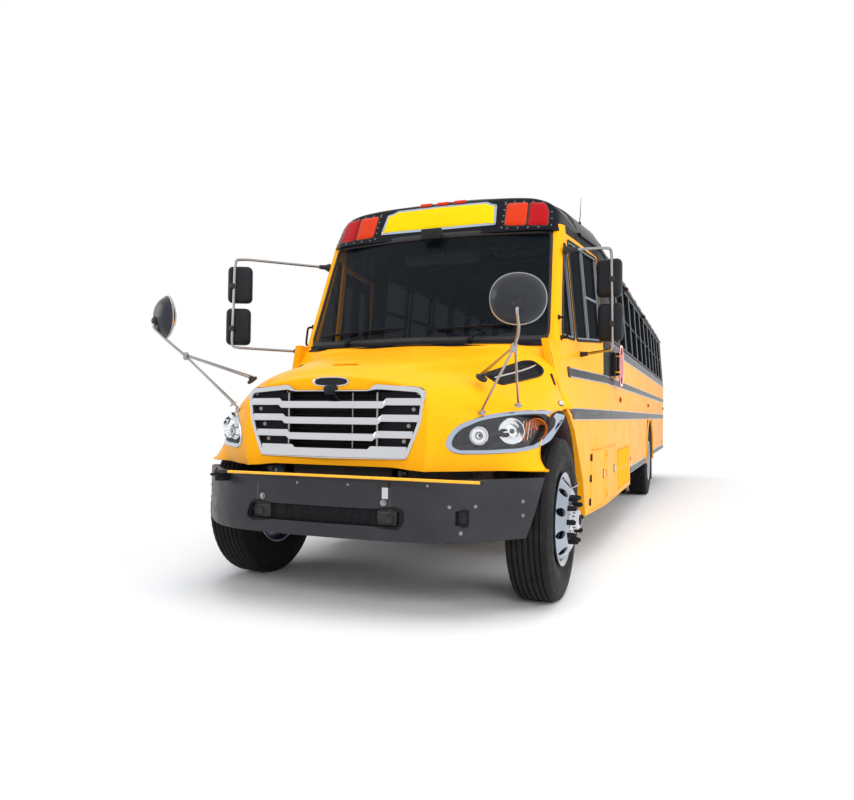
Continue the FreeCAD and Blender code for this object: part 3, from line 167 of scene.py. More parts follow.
def finish_of(name, colour, rough=0.45, metal=0.0, spread=0.06, patch=3.0, grain=300.0,
              bump=0.15, depth=0.0006, coat=0.0, dust=0.0, cells=0.0, alpha=1.0, glow=None,
              specular=0.5, brushed=None, coat_rough=0.04, ior=1.5):
    """A finish with patchy colour, uneven gloss and a fine relief.

    patch and grain are the scales of the colour patches and of the relief; cells adds a
    hammered relief; dust greys the lower half; brushed stretches the grain along an axis.
    """
    n = Nodes(name)
    dark = tuple(c * (1 - spread) for c in colour)
    light = tuple(min(1.0, c * (1 + spread)) for c in colour)
    tint = n.mixed(n.ranged(n.noise(patch, 5.0), 0.0, 1.0), dark, light)
    if dust:
        low = n.ranged(n.height(), dust, 0.0, 0.0, 1.25)
        speck = n.ranged(n.noise(14.0, 6.0), 0.25, 1.0)
        grey = tuple(0.5 * c + 0.5 * g for c, g in zip(colour, linear(150, 138, 118)))
        tint = n.mixed(n.times(low, speck), tint, grey)
    n.link(tint, n.shader.inputs["Base Color"])
    gloss = n.ranged(n.noise(patch * 4, 4.0), rough * 0.82, min(1.0, rough * 1.2 + 0.01))
    n.link(gloss, n.shader.inputs["Roughness"])
    normal = n.bump(n.noise(grain, 2.0, brushed), bump, depth)
    if cells:
        pebbles = n.add("ShaderNodeTexVoronoi", feature="SMOOTH_F1")
        pebbles.inputs["Scale"].default_value = cells
        n.link(n.place, pebbles.inputs["Vector"])
        normal = n.bump(pebbles.outputs["Distance"], 0.8, 0.0025, normal)
    n.link(normal, n.shader.inputs["Normal"])
    n.set(Metallic=metal, Coat_Weight=coat, Coat_Roughness=coat_rough, Alpha=alpha, IOR=ior)
    n.shader.inputs["Specular IOR Level"].default_value = specular
    if glow:
        n.shader.inputs["Emission Color"].default_value = (*glow[0], 1)
        n.shader.inputs["Emission Strength"].default_value = glow[1]
    return n.material


def lens_of(name, colour, clear, lines=90.0, axis="X", glow=0.0):
    """A lamp's lens with moulded flutes and small prisms."""
    n = Nodes(name)
    flute = n.add("ShaderNodeTexWave", bands_direction=axis)
    flute.inputs["Scale"].default_value = lines
    flute.inputs["Distortion"].default_value = 0.0
    n.link(n.place, flute.inputs["Vector"])
    prism = n.add("ShaderNodeTexVoronoi", distance="CHEBYCHEV")
    prism.inputs["Scale"].default_value = lines * 2.2
    prism.inputs["Randomness"].default_value = 0.0
    n.link(n.place, prism.inputs["Vector"])
    deep = tuple(c * 0.55 for c in colour)
    n.link(n.mixed(n.ranged(prism.outputs["Distance"], 0.0, 1.0, 0.0, 0.9), deep, colour),
           n.shader.inputs["Base Color"])
    relief = n.bump(prism.outputs["Distance"], 0.5, 0.0015)
    n.link(n.bump(flute.outputs["Fac"], 0.35, 0.001, relief), n.shader.inputs["Normal"])
    n.link(n.ranged(n.noise(25.0), 0.1, 0.2), n.shader.inputs["Roughness"])
    n.set(Alpha=clear, Coat_Weight=0.12, Coat_Roughness=0.03)
    n.shader.inputs["Specular IOR Level"].default_value = 0.12
    n.shader.inputs["Emission Color"].default_value = (*colour, 1)
    n.shader.inputs["Emission Strength"].default_value = glow
    return n.material


YELLOW = (0.93, 0.385, 0.006)
FINISHES = (
    # key, name, colour, roughness, metal, spread of colour, scales of patches and grain,
    # strength and depth of the relief, then what is out of the ordinary
    ("yellow", "yellow_enamel", YELLOW, 0.34, 0.0, 0.03, 1.3, 230.0, 0.05, 0.0006,
     dict(coat=0.05, specular=0.06, dust=0.02, coat_rough=0.08)),
    ("black", "black_enamel", (0.002, 0.0025, 0.006), 0.3, 0.0, 0.2, 2.0, 230.0, 0.06, 0.0006,
     dict(coat=0.12, specular=0.1, dust=0.01)),
    ("satin_black", "satin_black", (0.009, 0.009, 0.011), 0.5, 0.0, 0.2, 8.0, 500.0, 0.2, 0.0006,
     dict(specular=0.12, dust=0.03)),
    ("chassis", "chassis_paint", (0.022, 0.022, 0.024), 0.62, 0.0, 0.35, 6.0, 150.0, 0.35, 0.001,
     dict(dust=0.45)),
    ("hammered", "hammered_bumper", (0.03, 0.03, 0.035), 0.4, 0.1, 0.12, 4.0, 260.0, 0.2, 0.0008,
     dict(cells=130.0, specular=0.2, dust=0.02)),
    ("chrome", "bright_chrome", (0.62, 0.63, 0.66), 0.09, 1.0, 0.03, 3.0, 120.0, 0.03, 0.0004, {}),
    ("grille_chrome", "grille_chrome", (0.62, 0.63, 0.66), 0.11, 1.0, 0.03, 3.0, 120.0, 0.03,
     0.0004, {}),
    ("arm_chrome", "arm_steel", (0.4, 0.4, 0.41), 0.2, 1.0, 0.08, 6.0, 200.0, 0.05, 0.0004, {}),
    # satin_chrome also serves as the painted highlight on the rub rails' lips and ridges.
    ("satin_chrome", "satin_chrome", (0.46, 0.53, 0.64), 0.18, 1.0, 0.04, 4.0, 200.0, 0.05, 0.0006,
     {}),
    ("alloy", "polished_alloy", (0.4, 0.45, 0.52), 0.2, 1.0, 0.05, 5.0, 380.0, 0.08, 0.0004,
     dict(brushed=(1, 6, 6))),
    ("steel", "zinc_steel", (0.34, 0.34, 0.34), 0.35, 1.0, 0.12, 20.0, 400.0, 0.1, 0.0006, {}),
    ("exhaust", "weathered_steel", (0.2, 0.17, 0.14), 0.6, 0.7, 0.4, 9.0, 160.0, 0.4, 0.001,
     dict(dust=0.4)),
    ("tyre", "tyre_rubber", (0.012, 0.0115, 0.012), 0.6, 0.0, 0.22, 7.0, 420.0, 0.25, 0.0006,
     dict(specular=0.1, dust=0.04)),
    ("rubber", "black_rubber", (0.012, 0.012, 0.013), 0.55, 0.0, 0.2, 9.0, 300.0, 0.15, 0.0006,
     {}),
    ("plastic", "textured_plastic", (0.014, 0.015, 0.018), 0.42, 0.0, 0.15, 6.0, 600.0, 0.35,
     0.0005, dict(specular=0.15)),
    ("mirror_back", "mirror_shell", (0.02, 0.022, 0.027), 0.34, 0.06, 0.08, 3.0, 200.0, 0.05,
     0.0006, dict(coat=0.2, specular=0.2)),
    ("mirror_glass", "silvered_glass", (0.8, 0.83, 0.86), 0.03, 1.0, 0.02, 2.0, 50.0, 0.01, 0.0002,
     {}),
    ("glass", "tinted_glass", (0.005, 0.007, 0.01), 0.05, 0.0, 0.12, 1.2, 30.0, 0.012, 0.0004,
     dict(alpha=0.86, coat=0.08, specular=0.0, ior=1.0)),
    ("screen", "screen_glass", (0.004, 0.008, 0.012), 0.03, 0.0, 0.12, 1.0, 30.0, 0.01, 0.0004,
     dict(alpha=0.5, coat=0.2, specular=0.12, coat_rough=0.015)),
    ("clear", "clear_lens", (0.9, 0.92, 0.95), 0.04, 0.0, 0.02, 3.0, 60.0, 0.02, 0.0004,
     dict(alpha=0.05, coat=0.6, coat_rough=0.02, specular=0.4)),
    ("grey", "interior_grey", (0.06, 0.062, 0.066), 0.6, 0.0, 0.1, 4.0, 500.0, 0.25, 0.0006, {}),
    ("lining", "lining_panel", (0.07, 0.072, 0.078), 0.55, 0.0, 0.06, 2.0, 250.0, 0.2, 0.0006, {}),
    ("floor_mat", "ribbed_rubber", (0.025, 0.025, 0.027), 0.7, 0.0, 0.25, 5.0, 300.0, 0.3, 0.0006,
     {}),
    ("iron", "cast_iron", (0.11, 0.12, 0.13), 0.66, 0.55, 0.3, 10.0, 140.0, 0.5, 0.0015,
     dict(dust=0.2)),
    ("vinyl", "seat_vinyl", (0.022, 0.026, 0.032), 0.42, 0.0, 0.15, 5.0, 420.0, 0.5, 0.0008, {}),
    ("sign_red", "sign_red", (0.5, 0.008, 0.012), 0.4, 0.0, 0.06, 3.0, 700.0, 0.12, 0.0006,
     dict(coat=0.3)),
    ("sign_white", "sign_white", (0.75, 0.75, 0.74), 0.45, 0.0, 0.04, 4.0, 700.0, 0.12, 0.0006,
     {}),
    ("sign_yellow", "sign_yellow", (0.66, 0.49, 0.0), 0.5, 0.0, 0.04, 3.0, 800.0, 0.1, 0.0003,
     dict(specular=0.05)),
    ("bright", "lamp_reflector", (0.92, 0.93, 0.95), 0.06, 1.0, 0.02, 6.0, 90.0, 0.05, 0.0006,
     dict(glow=((1, 1, 1), 0.02))),
    ("liner", "arch_liner", (0.028, 0.009, 0.008), 0.75, 0.0, 0.3, 6.0, 180.0, 0.5, 0.0012,
     dict(dust=0.35)),
    ("rail", "rail_black", (0.01, 0.011, 0.014), 0.32, 0.1, 0.2, 5.0, 300.0, 0.1, 0.0006,
     dict(coat=0.1, specular=0.15)),
    ("aluminium", "window_aluminium", (0.26, 0.28, 0.3), 0.35, 0.85, 0.06, 4.0, 500.0, 0.08,
     0.0006, dict(brushed=(8, 8, 1))),
    ("arm_yellow", "arm_yellow", (0.9, 0.42, 0.004), 0.3, 0.0, 0.05, 5.0, 200.0, 0.05, 0.0006,
     dict(coat=0.6)),
)
M = {key: finish_of(*row, **more) for key, *row, more in FINISHES}
M |= {
    "amber": lens_of("amber_lens", (0.68, 0.035, 0.0), 1.0, glow=0.08),
    "red": lens_of("red_lens", (0.44, 0.0, 0.003), 1.0, glow=0.08),
    "white_lens": lens_of("white_lens", (0.8, 0.82, 0.85), 0.9),
    "lamp_amber": lens_of("signal_amber", (0.95, 0.23, 0.03), 0.75, 60.0),
}


# ---------------------------------------------------------------- outlines and lines

def curve_through(points, steps):
    """A smooth line through points of any number of values."""
    line = []
    last = len(points) - 1
    for i in range(last):
        before = points[max(i - 1, 0)]
        after = points[min(i + 2, last)]
        for s in range(steps):
            t = s / steps
            line.append(tuple(0.5 * (2 * b + (c - a) * t + (2 * a - 5 * b + 4 * c - d) * t * t
                                     + (3 * b - a - 3 * c + d) * t ** 3) for a, b, c,
                              d in zip(before, points[i], points[i + 1], after)))
    line.append(tuple(points[last]))
    return line


def rounded(points, radius, steps=5):
    """A closed outline with its corners rounded; radius is one number or one for each corner."""
    line = []
    count = len(points)
    radii = radius if isinstance(radius, (list, tuple)) else [radius] * count
    for i, corner in enumerate(points):
        here = Vector(corner)
        back = Vector(points[i - 1]) - here
        ahead = Vector(points[(i + 1) % count]) - here
        reach = min(radii[i], back.length * 0.48, ahead.length * 0.48)
        start = here + back.normalized() * reach
        end = here + ahead.normalized() * reach
        for s in range(steps + 1):
            t = s / steps
            line.append(tuple(start * (1 - t) ** 2 + here * 2 * t * (1 - t) + end * t * t))
    return line


def bent(points, radius, steps=5):
    """An open line of runs with rounded corners."""
    line = [Vector(points[0])]
    for i in range(1, len(points) - 1):
        here = Vector(points[i])
        back = Vector(points[i - 1]) - here
        ahead = Vector(points[i + 1]) - here
        reach = min(radius, back.length * 0.48, ahead.length * 0.48)
        start = here + back.normalized() * reach
        end = here + ahead.normalized() * reach
        for s in range(steps + 1):
            t = s / steps
            line.append(start * (1 - t) ** 2 + here * 2 * t * (1 - t) + end * t * t)
    line.append(Vector(points[-1]))
    return line


def grown(points, amount):
    """A closed outline moved outwards (or inwards, if negative)."""
    area = sum(a[0] * b[1] - b[0] * a[1] for a, b in zip(points, points[1:] + points[:1]))
    sign = 1 if area > 0 else -1
    moved = []
    for i, point in enumerate(points):
        a = Vector(points[i - 1])
        b = Vector(points[(i + 1) % len(points)])
        along = (b - a).normalized()
        moved.append((point[0] + along.y * amount * sign, point[1] - along.x * amount * sign))
    return moved


def flipped(points):
    """The same outline on the curb side, still going round the same way."""
    return [(-p[0], *p[1:]) for p in reversed(points)]


def turned_over(points, side):
    """An outline for the driver's side, or the same for the curb side."""
    return points if side > 0 else flipped(points)


def oval(wide, high, centre=(0, 0), steps=24, power=2.0):
    """A closed oval; a power over 2 makes it squarer."""
    line = []
    for i in range(steps):
        a = 2 * math.pi * i / steps
        c, s = math.cos(a), math.sin(a)
        line.append((centre[0] + wide * math.copysign(abs(c) ** (2 / power), c),
                     centre[1] + high * math.copysign(abs(s) ** (2 / power), s)))
    return line


PLACED = {
    # plane: how an outline's two values and its depth make a place
    "XY": lambda a, b, d: (a, b, d),
    "XZ": lambda a, b, d: (a, d, b),
    "YZ": lambda a, b, d: (d, a, b),
}
CAB_LEVELS = ((405, 1135, 1219), (1200, 1178, 1219), (1484, 1085, 1219), (1795, 1042, 1219),
              (2700, 940, 1150))


def half_width(y, z):
    """Half width of the body's outer skin, as its walls are built."""
    share = max(0.0, (1900 - y) / 1400)
    rows = [(straight - (straight - nose) * share, height) for height, nose, straight in CAB_LEVELS]
    for (wide_low, low), (wide_high, high) in zip(rows, rows[1:]):
        if z <= high or high == CAB_LEVELS[-1][0]:
            return wide_low + (wide_high - wide_low) * (z - low) / (high - low)


def rect(left, right, low, high):
    """The corners of a rectangle, in turn."""
    return [(left, low), (right, low), (right, high), (left, high)]


def woven(rows, closed=True, caps=False, loop=False):
    """A mesh over rows of places; closed joins each row's ends, loop the last row to the first."""
    part = bmesh.new()
    lines = [[part.verts.new(place) for place in row] for row in rows]
    wide = len(rows[0])
    for upper, lower in zip(lines, lines[1:] + (lines[:1] if loop else [])):
        for i in range(wide if closed else wide - 1):
            j = (i + 1) % wide
            part.faces.new((upper[i], upper[j], lower[j], lower[i]))
    if caps:
        part.faces.new(lines[0][::-1])
        part.faces.new(lines[-1])
    return part


class Kit:
    """Collects shapes, in mm from the front axle, and makes one piece of them."""

    def __init__(self):
        self.mesh = bmesh.new()

    def take(self, part, mat):
        """Add a part's shape with one finish, and free it."""
        for face in part.faces:
            face.material_index = mat
            face.smooth = True
        carrier = bpy.data.meshes.new("carrier")
        part.to_mesh(carrier)
        part.free()
        self.mesh.from_mesh(carrier)
        bpy.data.meshes.remove(carrier)

    def take_into(self, other):
        carrier = bpy.data.meshes.new("carrier")
        self.mesh.to_mesh(carrier)
        self.mesh.free()
        other.mesh.from_mesh(carrier)
        bpy.data.meshes.remove(carrier)

    def grid(self, rows, mat=0, closed=False, caps=False, loop=False):
        """A surface woven through rows of places."""
        part = woven(rows, closed, caps, loop)
        bmesh.ops.recalc_face_normals(part, faces=part.faces)
        self.take(part, mat)

    def box(self, low, high, soft=0, mat=0, steps=2, turn=None):
        """A box between two corners, with softened edges."""
        part = bmesh.new()
        middle = (Vector(low) + Vector(high)) / 2
        spans = [abs(b - a) for a, b in zip(low, high)]
        bmesh.ops.create_cube(part, size=1, matrix=Matrix.Diagonal((*spans, 1)))
        if soft:
            bmesh.ops.bevel(part, geom=part.edges[:], offset=soft, segments=steps, profile=0.5,
                            affect="EDGES")
        placed = Matrix.Translation(middle)
        if turn:
            placed = placed @ Matrix.Rotation(math.radians(turn[1]), 4, turn[0])
        bmesh.ops.transform(part, matrix=placed, verts=part.verts)
        self.take(part, mat)

    def plate(self, plane, points, start, end, soft=0, mat=0):
        """An outline made solid between two depths, with its two rims softened."""
        rings = [(start, 0), (end, 0)]
        if soft:
            step = soft if end > start else -soft
            rings = [(start, -soft), (start + step, 0), (end - step, 0), (end, -soft)]
        self.grid([[PLACED[plane](a, b, depth) for a, b in grown(points, inset)]
                   for depth, inset in rings], mat, closed=True, caps=True)

    def frame(self, plane, rings, mat=0):
        """A closed band through outlines with as many corners each: (outline, depth) in turn."""
        self.grid([[PLACED[plane](a, b, depth) for a, b in ring] for ring, depth in rings],
                  mat, closed=True, loop=True)

    def wall(self, points, out_low, out_high, side=1, soft=0, mat=0):
        """An outline in (Y, Z) laid on the body's side, between two heights off the skin."""
        rings = [(out_low, 0), (out_high, 0)]
        if soft:
            rings = [(out_low, 0), (out_high - soft, 0), (out_high, -soft)]
        part = woven([[(out, y, z) for y, z in grown(points, inset)] for out, inset in rings],
                     caps=True)
        cuts = [((0, 0, level[0]), (0, 0, 1)) for level in CAB_LEVELS[1:]]
        for place, normal in cuts + [((0, 1900, 0), (0, 1, 0))]:
            bmesh.ops.bisect_plane(part, geom=part.verts[:] + part.edges[:] + part.faces[:],
                                   plane_co=place, plane_no=normal, dist=0.01)
        for vert in part.verts:
            vert.co.x = side * (half_width(vert.co.y, vert.co.z) + vert.co.x)
        bmesh.ops.recalc_face_normals(part, faces=part.faces)
        self.take(part, mat)

    def tube(self, points, radius, bend=0, sides=14, mat=0):
        """A round bar along a line; radius may be one number or one for each point."""
        line = bent(points, bend) if bend else [Vector(p) for p in points]
        radii = radius if isinstance(radius, (list, tuple)) else [radius] * len(line)
        ahead = (line[1] - line[0]).normalized()
        side = ahead.orthogonal().normalized()
        rows = []
        for i, place in enumerate(line):
            run = (line[min(i + 1, len(line) - 1)] - line[max(i - 1, 0)]).normalized()
            side = (side - run * side.dot(run)).normalized()
            up = run.cross(side)
            rows.append([place + (side * math.cos(a) + up * math.sin(a)) * radii[i]
                         for a in (2 * math.pi * k / sides for k in range(sides))])
        self.grid(rows, mat, closed=True, caps=True)

    def lathe(self, profile, centre, axis=(1, 0, 0), steps=64, mat=0, hollow=False):
        """A turned shape; profile is (distance along the axis, radius). hollow leaves its ends."""
        axis = Vector(axis).normalized()
        side = axis.orthogonal().normalized()
        up = axis.cross(side)
        rows = []
        for along, radius in profile:
            rows.append([Vector(centre) + axis * along + (side * math.cos(a) + up * math.sin(a))
                         * max(radius, 0.05)
                         for a in (2 * math.pi * k / steps for k in range(steps))])
        self.grid(rows, mat, closed=True, caps=not hollow)

    def dome(self, centre, radii, mat=0, power=2.0, rows=18, steps=28, turn=None, lower=-1.0):
        """A rounded lump; a power over 2 makes it boxier, lower cuts it off below a share."""
        lines = []
        for i in range(rows + 1):
            tilt = math.pi * i / rows - math.pi / 2
            up = math.sin(tilt)
            flat = math.cos(tilt)
            up = max(lower, math.copysign(abs(up) ** (2 / power), up))
            flat = max(abs(flat) ** (2 / power), 0.001)
            line = []
            for a, b in oval(1, 1, steps=steps, power=power):
                place = Vector((a * flat * radii[0], b * flat * radii[1], up * radii[2]))
                line.append(Vector(centre) + (turn @ place if turn else place))
            lines.append(line)
        self.grid(lines, mat, closed=True, caps=True)

    def bolt(self, place, normal, size=9, mat=0):
        """A domed bolt head on a washer."""
        self.lathe([(0, size * 1.5), (size * 0.25, size * 1.45), (size * 0.3, size),
                    (size * 0.8, size * 0.85), (size, size * 0.3)], place, normal, 10, mat)

    def as_object(self, name, origin=at(0, 0, 0)):
        """An object of the shapes collected, in metres."""
        mesh = bpy.data.meshes.new(name)
        bmesh.ops.transform(self.mesh, verts=self.mesh.verts,
                            matrix=Matrix.Translation(origin) @ Matrix.Scale(0.001, 4))
        self.mesh.to_mesh(mesh)
        self.mesh.free()
        made = bpy.data.objects.new(name, mesh)
        bpy.context.scene.collection.objects.link(made)
        return made

    def done(self, name, materials, body, slot, angle=32, replaces=(), cutters=(), ride=True):
        """Make the piece, with the materials in the order of their numbers."""
        piece = self.as_object(name)
        for cutter in cutters:
            carve(piece, cutter)
        finished(piece, materials, angle)
        if ride:
            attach(piece, body)
        if replaces:
            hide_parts(*replaces)
        return piece


def finished(piece, materials, angle):
    """Give a piece its materials, smooth faces and sharp edges."""
    for word in materials if isinstance(materials, tuple) else (materials,):
        piece.data.materials.append(M[word])
    piece.data.shade_smooth()
    piece.data.set_sharp_from_angle(angle=math.radians(angle))


def settle(piece):
    """Put the result of a piece's modifiers into its mesh."""
    ready = piece.evaluated_get(bpy.context.evaluated_depsgraph_get())
    mesh = bpy.data.meshes.new_from_object(ready)
    old = piece.data
    piece.modifiers.clear()
    piece.data = mesh
    mesh.name = old.name
    bpy.data.meshes.remove(old)


def carve(piece, cutter):
    tool = cutter.as_object("cutter")
    mesh = tool.data
    change = piece.modifiers.new("carve", "BOOLEAN")
    change.object = tool
    change.solver = "EXACT"
    settle(piece)
    bpy.data.objects.remove(tool)
    bpy.data.meshes.remove(mesh)


def thicken(piece, amount):
    """Give a piece's skin a thickness, inwards."""
    change = piece.modifiers.new("thick", "SOLIDIFY")
    change.thickness = amount
    change.offset = -1
    settle(piece)


# ---------------------------------------------------------------- camera, light and floor

def aim(yaw, pitch, roll):
    """The camera's turn from its heading to the right of +Y, its rise and its tilt."""
    y, p, r = (math.radians(a) for a in (yaw, pitch, roll))
    ahead = Vector((-math.sin(y) * math.cos(p), math.cos(y) * math.cos(p), math.sin(p)))
    right = Vector((math.cos(y), math.sin(y), 0))
    up = right.cross(ahead)
    across = right * math.cos(r) + up * math.sin(r)
    over = up * math.cos(r) - right * math.sin(r)
    return Matrix((across, over, -ahead)).transposed()


camera = bpy.data.objects.new("camera", bpy.data.cameras.new("camera"))
bpy.context.scene.collection.objects.link(camera)
camera.matrix_world = Matrix.Translation(at(2074.46, -4654.43, 1187.06)) @ \
    aim(21.519, 1.236, 0.565).to_4x4()
camera.data.sensor_width = 36
camera.data.lens = 36 * 714.58 / 854
bpy.context.scene.camera = camera
bpy.context.scene.view_settings.view_transform = "Standard"


def area_light(name, place, target, size, power, shown=True, colour=(1, 1, 1)):
    """A rectangular lamp aimed at a place; shown lets reflections show it."""
    lamp = bpy.data.lights.new(name, "AREA")
    lamp.shape = "RECTANGLE"
    lamp.size, lamp.size_y = size
    lamp.energy = power
    lamp.color = colour
    light = bpy.data.objects.new(name, lamp)
    light.location = place
    light.visible_glossy = shown
    light.rotation_euler = (Vector(target) - Vector(place)).to_track_quat("-Z", "Y").to_euler()
    bpy.context.scene.collection.objects.link(light)


area_light("light_over", (1, -5, 11), (0, -3, 0), (10, 14), 1250, False)
area_light("light_front", (5, -15, 6), (0, -5, 1.2), (7, 5), 760, False)
area_light("light_side", (12, -3, 6), (0, -2, 1.2), (12, 5), 950, False)
area_light("light_curb", (-11, -8, 5), (0, -3, 1.4), (7, 5), 260)
area_light("light_back", (3, 15, 7), (0, 3, 1.5), (9, 5), 500, False)



def seen_directly(tree):
    """A socket that is 1 for camera, mirror and glass rays and 0 for the light on things."""
    path = tree.nodes.new("ShaderNodeLightPath")
    total = path.outputs["Is Camera Ray"]
    for kind in ("Is Glossy Ray", "Is Transmission Ray"):
        add = tree.nodes.new("ShaderNodeMath")
        add.use_clamp = True
        tree.links.new(total, add.inputs[0])
        tree.links.new(path.outputs[kind], add.inputs[1])
        total = add.outputs[0]
    return total


world = bpy.data.worlds.new("studio")
bpy.context.scene.world = world
world.use_nodes = True
sky = world.node_tree
back = sky.nodes["Background"]
place = sky.nodes.new("ShaderNodeTexCoord")
split = sky.nodes.new("ShaderNodeSeparateXYZ")
sky.links.new(place.outputs["Generated"], split.inputs[0])
ramp = sky.nodes.new("ShaderNodeValToRGB")
for spot, value in ((0.0, 0.02), (0.5, 0.03), (0.53, 0.2), (0.62, 0.36), (0.75, 0.2)):
    stop = ramp.color_ramp.elements[0] if spot == 0 else ramp.color_ramp.elements.new(spot)
    stop.position = spot
    stop.color = (value, value * 1.01, value * 1.04, 1)
ramp.color_ramp.elements[-1].color = (0.34, 0.37, 0.42, 1)
lift = sky.nodes.new("ShaderNodeMapRange")
lift.inputs["From Min"].default_value = -1
sky.links.new(split.outputs["Z"], lift.inputs["Value"])
sky.links.new(lift.outputs["Result"], ramp.inputs["Fac"])
choose = sky.nodes.new("ShaderNodeMix")
choose.data_type = "RGBA"
white = [s for s in choose.inputs if s.type == "RGBA"]
white[1].default_value = (1, 1, 1, 1)
sky.links.new(ramp.outputs["Color"], white[0])
sky.links.new(seen_directly(sky), choose.inputs["Factor"])
sky.links.new([s for s in choose.outputs if s.type == "RGBA"][0], back.inputs["Color"])
back.inputs["Strength"].default_value = 1.0

floor_kit = Kit()
floor_kit.grid([[(x, y, 0) for x in (-60000, 60000)] for y in (-60000, 75000)])
fade = Nodes("studio_floor_fade")
M["floor"] = fade.material
fade.set(Roughness=0.9)
fade.shader.inputs["Base Color"].default_value = (0.84, 0.84, 0.84, 1)
fade.shader.inputs["Specular IOR Level"].default_value = 0.1
fade.link(fade.bump(fade.noise(30.0), 0.03, 0.001), fade.shader.inputs["Normal"])
# The floor turns plain white where it lies 1.5 m or more beyond the bus.
beyond = fade.place
for step in ("ABSOLUTE", "SUBTRACT", "MAXIMUM", "LENGTH"):
    node = fade.add("ShaderNodeVectorMath", operation=step)
    fade.link(beyond, node.inputs[0])
    if step == "SUBTRACT":
        node.inputs[1].default_value = (1.25, 5.35, 0)
    beyond = node.outputs["Value" if step == "LENGTH" else "Vector"]
glow = fade.add("ShaderNodeEmission")
blend = fade.add("ShaderNodeMixShader")
fade.link(fade.times(fade.ranged(beyond, 0.0, 1.0, 0.0, 1.5), seen_directly(fade.tree)),
          blend.inputs[0])
fade.link(fade.shader.outputs[0], blend.inputs[1])
fade.link(glow.outputs[0], blend.inputs[2])
fade.link(blend.outputs[0], fade.tree.nodes["Material Output"].inputs["Surface"])
floor = floor_kit.done("floor_plane", "floor", "", "", ride=False)

# ---------------------------------------------------------------- finishes of the CAD nodes

SLOT_FINISH = {"yellow_paint": "yellow", "black_paint": "black", "chassis_black": "chassis",
               "bumper_black": "hammered", "chrome": "chrome", "wheel_alloy": "alloy",
               "tyre_rubber": "tyre", "window_glass": "glass", "lamp_lens": "clear",
               "seat_cover": "vinyl", "interior_grey": "grey", "floor_rubber": "floor_mat",
               "engine_iron": "iron", "pipe_steel": "exhaust", "arm_yellow": "arm_yellow",
               "sign_red": "sign_red",}
for row in frame["record"]["subparts"]:
    slots = nodes[row["node"]].data.materials
    slots.clear()
    slots.append(M[SLOT_FINISH[row["material_slot"]]])

# ---------------------------------------------------------------- the nose: hood and lamps

HOOD = (
    # along, then half outlines (out, up) from the middle to the lower edge
    (-922, ((0, 1418), (300, 1399), (500, 1362), (600, 1306), (618, 1160), (616, 1010),
            (610, 905), (602, 870))),
    (-820, ((0, 1478), (300, 1462), (560, 1405), (690, 1320), (730, 1180), (740, 1040),
            (735, 920), (725, 870))),
    (-660, ((0, 1528), (350, 1508), (640, 1440), (790, 1340), (870, 1210), (915, 1060),
            (920, 940), (915, 870))),
    (-490, ((0, 1560), (400, 1540), (700, 1480), (850, 1400), (1000, 1275), (1100, 1200),
            (1165, 1080), (1176, 870))),
    (-200, ((0, 1615), (420, 1595), (760, 1530), (900, 1430), (1000, 1330), (1120, 1262),
            (1190, 1180), (1196, 870))),
    (116, ((0, 1665), (450, 1648), (830, 1592), (985, 1484), (1052, 1370), (1130, 1290),
           (1192, 1235), (1198, 870))),
    (300, ((0, 1690), (450, 1672), (870, 1632), (1050, 1540), (1092, 1410), (1135, 1305),
           (1192, 1250), (1198, 870))),
)
NOSE_FACE = -940


def nose_plan(x):
    """How far the nose's face falls back towards its sides."""
    return 34 * (x / 594) ** 2


def ease(value, low, high):
    """0 up to low and 1 from high on, with a smooth run between them."""
    share = min(1.0, max(0.0, (value - low) / (high - low)))
    return share * share * (3 - 2 * share)


def relaxed(rows, turns):
    """A grid of places with its waves smoothed out; its edges stay where they are."""
    for _ in range(turns):
        fresh = [list(row) for row in rows]
        for i in range(1, len(rows) - 1):
            for j in range(1, len(rows[0]) - 1):
                around = (rows[i - 1][j], rows[i + 1][j], rows[i][j - 1], rows[i][j + 1])
                fresh[i][j] = tuple(0.4 * own + 0.15 * sum(near) for own, *near in
                                    zip(rows[i][j], *around))
        rows = fresh
    return rows


def hood_rows():
    """The hood's skin as rows of places, with its raised middle and turned-in front edge."""
    sections = []
    for along, half in HOOD:
        full = [(-out, up) for out, up in reversed(half[1:])] + list(half)
        sections.append([(x, along, z) for x, z in curve_through(full, 6)])
    rows = [list(row) for row in zip(*[curve_through([s[i] for s in sections], 7)
                                       for i in range(len(sections[0]))])]
    rows = relaxed(rows, 90)
    shaped = []
    for row in rows:
        line = []
        for x, y, z in row:
            edge = 236 + (y - NOSE_FACE) * 0.46
            crown = 15 * ease(-abs(x), -edge - 46, -edge) * ease(y, -930, -800)
            upper = ease(z, 1250, 1330)
            back = nose_plan(x) * ease(-y, 780, 922) * (0.4 + 0.6 * upper)
            line.append((x, y + back, z + crown))
        shaped.append(line)
    first = shaped[0]
    for depth, shrink in ((-8, 3), (-15, 9), (-18, 19)):
        ring = [(x - math.copysign(shrink, x) * min(1, abs(x) / 60), y + depth,
                 z - shrink * ease(z, 870, 1300)) for x, y, z in first]
        shaped.insert(0, ring)
    return shaped


